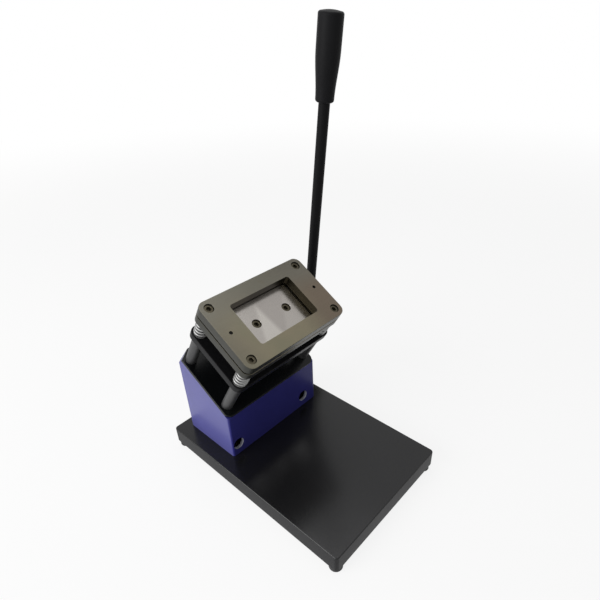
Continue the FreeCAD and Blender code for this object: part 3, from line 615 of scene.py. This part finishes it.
foot_low, foot_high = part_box("rubber_feet")
foot_radius, foot_lip, foot_draft = 7.5 * MM, 1.0 * MM, 0.4 * MM
foot_recess, foot_hole, foot_rim = 4.7 * MM, 2.02 * MM, 0.3 * MM
foot_height = foot_high.z - foot_low.z
foot_outline = [(foot_recess, 0), (foot_radius - foot_lip, 0), (foot_radius - foot_rim, foot_rim),
                (foot_radius, foot_lip), (foot_radius - foot_draft, foot_height - foot_lip / 2),
                (foot_radius - foot_draft, foot_height), (foot_hole, foot_height),
                (foot_hole, foot_height / 2), (foot_recess, foot_height / 2)]
foot_places = [at(x, y) for x in (foot_low.x + foot_radius, foot_high.x - foot_radius)
               for y in (foot_low.y + foot_radius, foot_high.y - foot_radius)]
feet = repeated(turned(foot_outline, closed=True), foot_places)
piece(feet, "rubber_foot_set", foot_rubber, "rubber_feet")

# %% [markdown]
# ## The blue box
# Four walls 4 mm thick under a slanted rim. A block's top is cut by a plane at the slope of the rim, a smaller
# copy of the same wedge is the hollow, and two drills open the access holes. Their walls have a pale, bright
# finish: a painted highlight for the glint inside the holes. Two slanted planes clip the rear upper corners, as
# the outline in the photograph shows.

# %% Housing
wall = 4 * MM
housing_low, housing_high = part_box("housing")


def wedge(low, high, rise):
    """A block whose top follows the slope of the rim, raised by a distance."""
    return sliced(block(low, high), rim_point + rise * lift, lift)


rim_point = Vector((0, housing_high.y, housing_high.z))
housing = wedge(housing_low, housing_high + Vector((0, 0, MM)), 0)
round_uprights(housing, 3 * MM, 6)
inset = Vector((wall, wall, 0))
past_rim, past_top = 12 * MM, Vector((0, 0, 30 * MM))
hollow = wedge(housing_low + inset - Vector((0, 0, MM)), housing_high - inset + past_top, past_rim)
hole_radius, hole_height, shaft_hole_radius = 7.5 * MM, 15.5 * MM, 12.5 * MM
hole_places = [housing_low.x + 9.75 * MM, housing_low.x + 122.25 * MM]
turn_to_y = Matrix.Rotation(math.radians(-90), 4, "X")
hole_level = housing_low.z + hole_height
access = [moved(drill(hole_radius, -2 * MM, wall + MM), at(x, housing_low.y, hole_level) @ turn_to_y)
          for x in hole_places]
shaft_hole = moved(drill(shaft_hole_radius, -2 * wall, wall), at(housing_high.x, pivot.y, pivot.z)
                   @ Matrix.Rotation(math.radians(90), 4, "Y"))
housing = carve(housing, [hollow] + access + [shaft_hole])
clip_down, clip_in, clip_forward = 12 * MM, 14 * MM, 9 * MM


def clip_corners(bm):
    """Cut the two rear upper corners of the box by slanted planes."""
    for side, x in ((-1, housing_low.x), (1, housing_high.x)):
        below = Vector((x, housing_high.y, housing_high.z - clip_down))
        inward = Vector((x - side * clip_in, housing_high.y, housing_high.z))
        along = rim_point + clip_forward * Vector((0, -math.cos(slope), -math.sin(slope)))
        along.x = x
        away = (inward - below).cross(along - below).normalized()
        if away.z < 0:
            away = -away
        sliced(bm, below, away)
    return bm


housing = clip_corners(housing)
soften(housing, 0.5 * MM)
front_wall = housing_low.y + wall
housing.normal_update()
for face in housing.faces:
    centre = face.calc_center_median()
    above_hole = centre.z - housing_low.z - hole_height
    nearest = min(Vector((centre.x - x, above_hole)).length for x in hole_places)
    # Faces inside the access holes get the painted glint.
    if centre.y < front_wall and nearest < hole_radius + 0.4 * MM and abs(face.normal.y) < 0.9:
        face.material_index = 1
    # The two ends get the paler enamel, which is painted light.
    elif abs(face.normal.x) > 0.9:
        face.material_index = 2
piece(housing, "housing_shell", housing_enamel, "housing", others=[painted_glint_bore, painted_light_end_enamel])

# %% [markdown]
# ## The deck
# A black lid lies on the rim and covers the walls. Its corners are rounded, so the blue corners of
# the box show beside it. Under it, inside the walls, is the thick body that the posts are screwed
# into: a slab in the die's frame, cut off plumb by two planes.

# %% Deck
deck_low, deck_high = span("deck_plate")
deck_top, lid_thickness, lid_corner, lid_edge = deck_high.z, 3 * MM, 8.5 * MM, 0.8 * MM
rim_level = deck_top - lid_thickness
lid = rounded_block(Vector((deck_low.x, -deck_high.y, rim_level)), deck_high, lid_corner)
bevel(lid, rim_at(lid, deck_top), lid_edge, 3)
ram_centre = middle("ram")
ram_hole = 14.05 * MM


def deck_hole():
    return drill(ram_hole, deck_low.z - MM, deck_top + MM)


lid = moved(carve(lid, [moved(deck_hole(), at(ram_centre.x, ram_centre.y))]), DIE)

clear_wall = Vector((wall + 0.3 * MM, wall + 0.3 * MM, 0))
body = block(housing_low + clear_wall, housing_high - clear_wall)
for side, level in ((1, rim_level), (-1, deck_low.z)):
    sliced(body, DIE @ Vector((0, 0, level)), side * lift)
body = carve(body, [moved(deck_hole(), DIE @ at(ram_centre.x, ram_centre.y))])
soften(body, 0.3 * MM)

piece(joined(clip_corners(lid), clip_corners(body)), "deck_top_plate", deck_gloss, "deck_plate")

# %% [markdown]
# ## The posts
# Each post is one turned bar: a thick column between deck and carrier, then a thinner guide that
# the carrier slides on. The outline goes once round, and small chamfers at each shoulder catch a
# ring of light.

# %% Guide posts
corners = ("front_left", "front_right", "rear_left", "rear_right")
column_radius, guide_radius, stud_radius = 6.75 * MM, 5.5 * MM, 4 * MM
chamfer = 0.6 * MM
carrier_low, carrier_high = span("carrier_plate")
for corner in corners:
    node = "guide_post_" + corner
    post_low, post_high = span(node)
    centre = middle(node)
    outline = [(0, post_low.z), (stud_radius, post_low.z), (stud_radius, deck_top),
               (column_radius - chamfer, deck_top), (column_radius, deck_top + chamfer),
               (column_radius, carrier_low.z - chamfer), (column_radius - chamfer, carrier_low.z),
               (guide_radius, carrier_low.z), (guide_radius, post_high.z - chamfer),
               (guide_radius - chamfer, post_high.z), (0, post_high.z)]
    piece(turned(outline), "post_" + corner, post_steel, node, DIE @ at(centre.x, centre.y))

# %% [markdown]
# ## The springs
# A compression spring is wire wound round a bar: the first and last turns lie flat, and the rest
# climb. `spin` with a step along the axis sweeps the wire's circle in a helix, so a spring is
# three spins: a flat turn, the climbing turns and a flat turn.

# %% Springs
wire_radius, coil_radius = 1.35 * MM, 6.95 * MM
flat_turns, climbing_turns, steps_per_turn, wire_sides = 0.75, 4.75, 32, 14
guide_low, guide_high = span("guide_plate")


def helix(bm, ring, turns, climb):
    """Sweep the open ring round the axis while it climbs, and give the ring at the far end."""
    steps = round(turns * steps_per_turn)
    swept = bmesh.ops.spin(bm, geom=ring, cent=(0, 0, 0), axis=(0, 0, 1), dvec=(0, 0, climb / steps),
                           angle=2 * math.pi * turns, steps=steps)
    return swept["geom_last"]


def coil_spring(height):
    bm = bmesh.new()
    place = at(coil_radius, 0, wire_radius) @ Matrix.Rotation(math.radians(90), 4, "X")
    start = bmesh.ops.create_circle(bm, segments=wire_sides, radius=wire_radius, matrix=place)["verts"]
    ring = start + [e for e in bm.edges]
    flat_climb = 2 * wire_radius * flat_turns
    ring = helix(bm, ring, flat_turns, flat_climb)
    ring = helix(bm, ring, climbing_turns, height - 2 * wire_radius - 2 * flat_climb)
    helix(bm, ring, flat_turns, flat_climb)
    bmesh.ops.holes_fill(bm, edges=[e for e in bm.edges if e.is_boundary], sides=wire_sides)
    bmesh.ops.recalc_face_normals(bm, faces=bm.faces)
    return bm


for corner in corners:
    node = "spring_" + corner
    spring_low, spring_high = span(node)
    centre = middle("guide_post_" + corner)
    height = spring_high.z - spring_low.z
    place = DIE @ at(centre.x, centre.y, spring_low.z)
    spring = piece(coil_spring(height), "coil_" + corner, spring_wire, node, place, 60)
    spring.modifiers.clear()
    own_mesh(spring)

# %% [markdown]
# ## The plates of the die set
# Three plates share one outline. The two upper ones have the card's window, cut sharp because its
# edge is the blade, and the screws sit in counterbores. All are blocks with rounded uprights and
# a fine bevel on the outer edges. Drills and turned cutters make the holes.

# %% Die plate and guide plate
plate_corner, plate_edge = 9 * MM, 0.8 * MM
window_corner, window_gap = 3.28 * MM, 0.1 * MM
spring_pocket, guide_pocket, carrier_pocket, bush_hole = 8.6 * MM, 3.6 * MM, 5 * MM, 8.07 * MM
punch_low, punch_high = span("punch")
die_low, die_high = span("die_plate")
screw_low, screw_high = span("die_screws")
seat_radius, shank_radius, pin_radius = 5.4 * MM, 3.3 * MM, 2.02 * MM
screw_seat = screw_high.z - 6 * MM
post_centres = [middle("guide_post_" + corner) for corner in corners]
pin_low, pin_high = span("dowel_pins")
pin_centres = [pin_low.x + pin_radius, pin_high.x - pin_radius]


def window(low, high):
    gap = Vector((window_gap, window_gap, 0))
    near = Vector((punch_low.x, punch_low.y, low)) - gap
    far = Vector((punch_high.x, punch_high.y, high)) + gap
    return rounded_block(near, far, window_corner)


def plate(low, high, edge=plate_edge):
    """A plate with round corners whose rims are bevelled before anything is cut in it."""
    bm = rounded_block(low, high, plate_corner)
    soften(bm, edge)
    return bm


def drills(radius, low, high, centres):
    return [moved(drill(radius, low, high), at(centre.x, centre.y)) for centre in centres]


pin_places = [Vector((x, (pin_low.y + pin_high.y) / 2, 0)) for x in pin_centres]
countersink = 0.15 * MM


def stepped_holes(low, seat, top, centres):
    """Screw holes as single turned cutters: shank, seat for the head and a broken mouth."""
    outline = [(0, low - MM), (shank_radius, low - MM), (shank_radius, seat), (seat_radius, seat),
               (seat_radius, top - countersink), (seat_radius + 2 * countersink, top + countersink),
               (0, top + countersink)]
    return [moved(turned(outline, 40), at(centre.x, centre.y)) for centre in centres]


die_tools = [window(die_low.z - MM, die_high.z + MM)]
die_tools += stepped_holes(die_low.z, screw_seat, die_high.z, post_centres)
die_tools += drills(pin_radius, die_low.z - MM, die_high.z + MM, pin_places)


def mark_sides(bm):
    """Give the window's walls a third finish and the plate's own sides a second one."""
    bm.normal_update()
    reach_x, reach_y = punch_high.x + 2 * window_gap, punch_high.y + 2 * window_gap
    for face in bm.faces:
        centre = face.calc_center_median()
        within = abs(centre.x) < reach_x and abs(centre.y) < reach_y
        if abs(face.normal.z) < 0.5:
            face.material_index = 2 if within else 1
    return bm


def plate_piece(bm, name, node):
    piece(mark_sides(bm), name, die_steel, node, DIE, others=[side_steel, blade_steel])


plate_piece(carve(plate(die_low, die_high), die_tools), "die_top_plate", "die_plate")

guide_tools = [window(guide_low.z - MM, guide_high.z + MM)]
guide_tools += drills(spring_pocket, guide_low.z - MM, guide_low.z + guide_pocket, post_centres)
guide_tools += drills(shank_radius, guide_low.z, guide_high.z + MM, post_centres)
guide_tools += drills(pin_radius, guide_low.z - MM, guide_high.z + MM, pin_places)
plate_piece(carve(plate(guide_low, guide_high), guide_tools), "guide_plate_ground", "guide_plate")

# %% Rear spacer and front washers
spacer_low, spacer_high = span("rear_spacer")
rear_centres = [centre for centre in post_centres if centre.y > 0]
spacer = rounded_block(spacer_low, spacer_high, 1.0 * MM, 4)
soften(spacer, 0.15 * MM, 1)
spacer = carve(spacer, drills(shank_radius, spacer_low.z - MM, spacer_high.z + MM, rear_centres))
piece(spacer, "slot_spacer_strip", side_steel, "rear_spacer", DIE)

washer_radius, rub = 7 * MM, 0.2 * MM
washer_outline = [(shank_radius, spacer_low.z), (washer_radius - rub, spacer_low.z),
                  (washer_radius, spacer_low.z + rub), (washer_radius, spacer_high.z - rub),
                  (washer_radius - rub, spacer_high.z), (shank_radius, spacer_high.z)]
washer_places = [at(centre.x, centre.y) for centre in post_centres if centre.y < 0]
washers = repeated(turned(washer_outline, closed=True), washer_places)
piece(washers, "slot_washer_pair", side_steel, "front_washers", DIE)

# %% [markdown]
# ## The carrier plate
# The plate that rides up the posts is blackened, but its lower rim was ground after blackening
# and shows bright. The broad chamfer is a bevel of the lower rim alone, and its faces get the
# bare metal as a second material.

# %% Carrier plate
carrier_edge = 2.0 * MM
carrier = rounded_block(carrier_low, carrier_high, plate_corner)
bevel(carrier, rim_at(carrier, carrier_low.z), carrier_edge, 1)
bevel(carrier, rim_at(carrier, carrier_high.z), plate_edge, 2)
carrier.normal_update()
for face in carrier.faces:
    if -0.95 < face.normal.z < -0.3:
        face.material_index = 1
carrier_tools = drills(spring_pocket, carrier_high.z - carrier_pocket, carrier_high.z + MM, post_centres)
carrier_tools += drills(bush_hole, carrier_low.z - MM, carrier_high.z, post_centres)
carrier = carve(carrier, carrier_tools)
piece(carrier, "carrier_plate_black", carrier_black, "carrier_plate", DIE, others=[bare_edge])

# %% [markdown]
# ## The punch
# A block the size of a card, with two deep counterbores for its screws. Its upper edge is the
# second blade, so it stays sharp.

# %% Punch
punch_screw_low, punch_screw_high = span("punch_screws")
head_radius = 5 * MM
punch_screw_places = [Vector((punch_screw_low.x + head_radius, 0, 0)),
                      Vector((punch_screw_high.x - head_radius, 0, 0))]
punch_seat = punch_screw_high.z - 6 * MM
punch = rounded_block(punch_low, punch_high, window_corner - window_gap)
punch_tools = stepped_holes(punch_low.z, punch_seat, punch_high.z, punch_screw_places)
piece(carve(punch, punch_tools), "card_punch", punch_steel, "punch", DIE)

# %% [markdown]
# ## Socket screws
# A socket head screw is a turned body with a hexagonal hole. The head's rim is rounded, its
# socket has a small lead-in, and the shank runs down its hole.


# %% Socket screws
def socket_screw(head, height, thread, key, length):
    """A screw that seats at zero with its head above."""
    rim = 0.4 * MM
    outline = [(0, -length), (thread - rim, -length), (thread, rim - length), (thread, 0),
               (head - rim / 2, 0), (head, rim / 2), (head, height - rim),
               (head - 0.3 * rim, height - 0.3 * rim), (head - rim, height), (0, height)]
    bm = turned(outline)
    return carve(bm, [drill(key / math.sqrt(3), 0.45 * height, height + MM, 6)])


m6_screw, m5_screw = (5 * MM, 6 * MM, 3 * MM, 5 * MM), (4.25 * MM, 5 * MM, 2.5 * MM, 4 * MM)
socket_edge = 0.12 * MM


def screw_set(size, length, places, name, node, axes):
    """Copies of one socket screw, as one piece."""
    screw = socket_screw(*size, length)
    soften(screw, socket_edge, 1, 50)
    piece(repeated(screw, places), name, screw_black, node, axes)


die_places = [at(centre.x, centre.y, screw_seat) for centre in post_centres]
punch_places = [at(place.x, 0, punch_seat) for place in punch_screw_places]
screw_set(m6_screw, screw_seat - screw_low.z, die_places, "die_screw_set", "die_screws", DIE)
screw_set(m6_screw, punch_seat - punch_screw_low.z, punch_places, "punch_screw_set", "punch_screws", DIE)

# %% [markdown]
# ## The lever
# The rod is a plain bar with a broken end. The grip is moulded: slim where the rod enters, then swelling to a full
# palm with a domed top. The swell is an S curve, so its outline is worked out with a cosine.

# %% Rod and grip
rod_low, rod_high = span("lever_rod", LEVER)
rod_radius = 6.25 * MM
rod_outline = [(0, rod_low.z), (rod_radius - MM, rod_low.z), (rod_radius, rod_low.z + MM),
               (rod_radius, rod_high.z - MM), (rod_radius - MM, rod_high.z), (0, rod_high.z)]
piece(turned(rod_outline), "lever_bar", lever_coat, "lever_rod", LEVER)

low, high = span("grip", LEVER)
slim, full, rim, dome, taper = 10.1 * MM, 12.9 * MM, 2.5 * MM, 1.2 * MM, 46 * MM
grip_top = high.z - dome
lead_in = 1.5 * MM
grip_outline = [(0, low.z + lead_in), (rod_radius, low.z + lead_in), (rod_radius + MM, low.z),
                (slim - rim, low.z)]
quarter = [math.radians(a) for a in range(15, 91, 15)]
grip_outline += [(slim - rim + rim * math.sin(a), low.z + rim - rim * math.cos(a)) for a in quarter]
for i in range(1, 13):
    share = i / 12
    swell = (1 - math.cos(math.pi * share)) / 2
    grip_outline.append((slim + (full - slim) * swell, low.z + rim + taper * share))
grip_outline += [(full - rim + rim * math.cos(a), grip_top - rim + rim * math.sin(a))
                 for a in [0] + quarter[:-1]]
crown = full - rim
grip_outline += [(crown * (1 - i / 5), grip_top + dome * (1 - (1 - i / 5) ** 2)) for i in range(6)]
piece(turned(grip_outline, 64), "hand_grip", grip_plastic, "grip", LEVER)

# %% [markdown]
# ## Hub, bearing and shaft
# The hub is two crossed turned parts, a barrel on the shaft and a boss for the rod, joined by a
# Boolean union, then bored for shaft, rod, key and set screw. The bearing is one
# turned flange with a nose, and its four screws sit on the flange.

# %% Lever hub and shaft
TO_X = Matrix.Rotation(math.radians(90), 4, "Y")
hub_high = span("lever_hub", LEVER)[1]
barrel_half, barrel_radius = hub_high.x, hub_high.y
boss_radius, boss_reach, hub_rim = 10 * MM, hub_high.z, 1.5 * MM


def bar_outline(radius, low, high, rim):
    """A turned bar between two heights with broken rims."""
    return [(0, low), (radius - rim, low), (radius, low + rim), (radius, high - rim),
            (radius - rim, high), (0, high)]


def united(first, second):
    """The Boolean union of two closed solids."""
    work, other = as_object(first, "work"), as_object(second, "other")
    union = work.modifiers.new("join", "BOOLEAN")
    union.operation, union.solver, union.object = "UNION", "EXACT", other
    bm = bmesh.new()
    bm.from_object(work, bpy.context.evaluated_depsgraph_get())
    for used in (work, other):
        bpy.data.objects.remove(used)
    bmesh.ops.remove_doubles(bm, verts=bm.verts, dist=1e-6)
    return bm


barrel = moved(turned(bar_outline(barrel_radius, -barrel_half, barrel_half, hub_rim), 64), TO_X)
boss = turned(bar_outline(boss_radius, 0, boss_reach, hub_rim), 48)
hub = united(barrel, boss)
key_low, key_high = span("hub_key", LEVER)
set_low, set_high = span("hub_screw", LEVER)
fit = 0.02 * MM
shaft_radius = 8 * MM
slack = Vector((fit + barrel_half, fit, fit))
set_screw_radius = (set_high.x - set_low.x) / 2
set_screw_line = at((set_low.x + set_high.x) / 2, 0, (set_low.z + set_high.z) / 2)
set_screw_hole = moved(drill(set_screw_radius + fit, 0, 2 * barrel_radius), set_screw_line @ turn_to_y)
hub = carve(hub, [moved(drill(shaft_radius + fit, -2 * barrel_half, 2 * barrel_half), TO_X),
                  drill(rod_radius + fit, rod_low.z, boss_reach + MM),
                  block(key_low - slack, key_high + slack), set_screw_hole])
piece(hub, "hub_casting", lever_coat, "lever_hub", LEVER)

shaft_low, shaft_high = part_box("cam_shaft")
shaft = turned(bar_outline(shaft_radius, shaft_low.x, shaft_high.x, MM))
centre_mark = bmesh.new()
bmesh.ops.create_cone(centre_mark, cap_ends=True, segments=32, radius1=0.2 * MM, radius2=3 * MM,
                      depth=3 * MM, matrix=at(0, 0, shaft_high.x - MM))
shaft = moved(carve(shaft, [centre_mark]), at(0, pivot.y, pivot.z) @ TO_X)
piece(shaft, "cross_shaft", shaft_steel, "cam_shaft")

# %% Outer bearing
bearing_low, bearing_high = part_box("outer_bearing")
face = housing_high.x
flange_radius, flange, nose_radius, spigot_radius, bore = 25 * MM, 6 * MM, 14 * MM, 12.5 * MM, 10.07 * MM
flange_face, bolt_clearance = face + flange, 2.8 * MM
fillet_steps = [math.radians(a) for a in (0, 30, 60, 90)]
fillet = 1.5 * MM
bearing_outline = [(bore, bearing_low.x), (spigot_radius, bearing_low.x), (spigot_radius, face),
                   (flange_radius, face), (flange_radius, flange_face - MM),
                   (flange_radius - MM, flange_face)]
bearing_outline += [(nose_radius + fillet * (1 - math.sin(a)), flange_face + fillet * (1 - math.cos(a)))
                    for a in fillet_steps]
bearing_outline += [(nose_radius, bearing_high.x - MM), (nose_radius - MM, bearing_high.x),
                    (bore, bearing_high.x)]
SHAFT_LINE = at(0, pivot.y, pivot.z) @ TO_X
bolt_reach = 20 * MM * math.sqrt(0.5)
bolt_spots = [(sx * bolt_reach, sy * bolt_reach) for sx in (-1, 1) for sy in (-1, 1)]
bearing = carve(turned(bearing_outline, 64, closed=True),
                [moved(drill(bolt_clearance, face - MM, flange_face + MM), at(x, y))
                 for x, y in bolt_spots])
piece(bearing, "flange_bearing", bearing_coat, "outer_bearing", SHAFT_LINE)

screw_set(m5_screw, flange + wall, [at(x, y, flange_face) for x, y in bolt_spots], "bearing_screw_set",
          "bearing_screws", SHAFT_LINE)

# %% Ram and its bush
ram_low, ram_high = span("ram")
ram_radius, spigot = 11 * MM, 6 * MM
ram_outline = [(0, ram_low.z), (ram_radius - MM, ram_low.z), (ram_radius, ram_low.z + MM),
               (ram_radius, carrier_low.z), (spigot, carrier_low.z), (spigot, ram_high.z), (0, ram_high.z)]
piece(turned(ram_outline, 64), "lift_ram", shaft_steel, "ram", DIE @ at(ram_centre.x, ram_centre.y))

bush_low, bush_high = span("ram_bush")
bush_bore, bush_radius, bush_flange, bush_rim = ram_radius + 0.05 * MM, 14.05 * MM, 18.05 * MM, 0.5 * MM
bush_outline = [(bush_bore, bush_low.z), (bush_radius, bush_low.z), (bush_radius, deck_top),
                (bush_flange, deck_top), (bush_flange, bush_high.z - bush_rim),
                (bush_flange - bush_rim, bush_high.z),
                (bush_bore + bush_rim, bush_high.z), (bush_bore, bush_high.z - bush_rim)]
piece(turned(bush_outline, 64, closed=True), "ram_guide_bush", bush_bronze, "ram_bush",
      DIE @ at(ram_centre.x, ram_centre.y))

# %% [markdown]
# ## Camera
# The camera stands where the photograph was taken from. Its place, its direction and its focal
# length were worked out from the card window's corners and the edges of the base, in pixels of a
# square picture 600 wide. The small roll is kept, and the shift moves the picture's middle to
# where the lens looks.

# %% Camera
picture = 600
focal_pixels, middle_x, middle_y = 471.18, 307.76, 328.04
camera_place = (-0.314549, -0.300023, 0.465869)
yaw, pitch, roll = (math.radians(a) for a in (46.382, 33.170, 2.196))
forward = Vector((math.sin(yaw) * math.cos(pitch), math.cos(yaw) * math.cos(pitch), -math.sin(pitch)))
right = Vector((math.cos(yaw), -math.sin(yaw), 0))
down = forward.cross(right)
across = right * math.cos(roll) + down * math.sin(roll)
upward = right * math.sin(roll) - down * math.cos(roll)
camera_data = bpy.data.cameras.new("camera")
camera = bpy.data.objects.new("camera", camera_data)
bpy.context.scene.collection.objects.link(camera)
facing = Matrix((across, upward, -forward)).transposed().to_4x4()
camera.matrix_world = Matrix.Translation(camera_place) @ facing
camera_data.sensor_width = 36
camera_data.lens = focal_pixels / picture * camera_data.sensor_width
camera_data.shift_x = (picture / 2 - middle_x) / picture
camera_data.shift_y = (middle_y - picture / 2) / picture
camera_data.clip_start, camera_data.clip_end = 0.01, 20
bpy.context.scene.camera = camera
print("lens", round(camera_data.lens, 2), "mm")

# %% [markdown]
# ## Floor and light
# The machine stands on a plain white floor in soft daylight. A large soft lamp low on the left is
# the main light, a weaker one hangs above, and the world is a dim white. The camera, and polished
# metal, see the floor and the world as plain white, but the floor keeps the machine's shadow: most
# of what the camera sees there is a white glow, and the rest is paint that the lamps reach. Neither
# is sampled as a lamp, because a lamp's light on a glossy surface passes by the glossy ray's test.

# %% Floor
floor_mesh = bmesh.new()
bmesh.ops.create_grid(floor_mesh, x_segments=1, y_segments=1, size=12)
floor = as_object(floor_mesh, "floor")
floor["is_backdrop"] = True
pale = Finish("pale floor", Roughness=0.9, Specular_IOR_Level=0.0)
speckle = pale.noise(40.0, 3.0)
floor_paint = pale.finish(pale.blend(speckle, (0.80, 0.80, 0.80), (0.82, 0.82, 0.82)))
rays = pale.node("LightPath", {}, {}, "Is Camera Ray")
mirrored = pale.node("LightPath", {}, {}, "Is Glossy Ray")
through = pale.node("LightPath", {}, {}, "Is Transmission Ray")
far_off = pale.node("VectorMath", {"operation": "LENGTH"}, {0: pale.place}, "Value").step(0.8, 2.5)
glow = pale.node("Emission", {}, {"Color": (1.0, 1.0, 1.0), "Strength": 1.0}, "Emission")
white_share = ((0.86 + 0.14 * far_off) * rays).at_least(mirrored).at_least(through)
shown = pale.node("MixShader", {}, {0: white_share, 2: glow}, "Shader")
pale.links.new(pale.shader.outputs["BSDF"], shown.socket.node.inputs[1])
pale.links.new(shown.socket, pale.nodes["Material Output"].inputs["Surface"])
floor_paint.cycles.emission_sampling = "NONE"
floor.data.materials.append(floor_paint)

# %% World and lamps
world = bpy.data.worlds.new("studio")
bpy.context.scene.world = world
world.use_nodes = True
sky = world.node_tree
sky_light = sky.nodes["Background"]
plain_white = sky.nodes.new("ShaderNodeBackground")
for background, strength in ((sky_light, 0.28), (plain_white, 1.0)):
    background.inputs["Color"].default_value = (1, 1, 1, 1)
    background.inputs["Strength"].default_value = strength
world.cycles.sampling_method = "NONE"
sky_rays = sky.nodes.new("ShaderNodeLightPath")
choose = sky.nodes.new("ShaderNodeMixShader")
seen = sky_rays.outputs["Is Camera Ray"]
for other in ("Is Glossy Ray", "Is Transmission Ray"):
    either = sky.nodes.new("ShaderNodeMath")
    either.operation = "MAXIMUM"
    sky.links.new(seen, either.inputs[0])
    sky.links.new(sky_rays.outputs[other], either.inputs[1])
    seen = either.outputs[0]
sky.links.new(seen, choose.inputs[0])
sky.links.new(sky_light.outputs[0], choose.inputs[1])
sky.links.new(plain_white.outputs[0], choose.inputs[2])
sky.links.new(choose.outputs[0], sky.nodes["World Output"].inputs["Surface"])


def soft_lamp(name, place, aim, size, watts):
    data = bpy.data.lights.new(name, "AREA")
    data.shape, data.size, data.energy = "DISK", size, watts
    lamp = bpy.data.objects.new(name, data)
    bpy.context.scene.collection.objects.link(lamp)
    lamp.location = place
    lamp.rotation_euler = (Vector(aim) - Vector(place)).to_track_quat("-Z", "Y").to_euler()


soft_lamp("left window", (-1.7, 0.45, 0.80), (0, 0, 0.1), 1.8, 41)
soft_lamp("ceiling", (0.2, 0.3, 2.0), (0, 0, 0.1), 1.6, 8)
scene = bpy.context.scene
scene.view_settings.view_transform = "Standard"

# %% Measure the visual box
low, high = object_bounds()
print("visual box", [round(v, 4) for v in high - low])
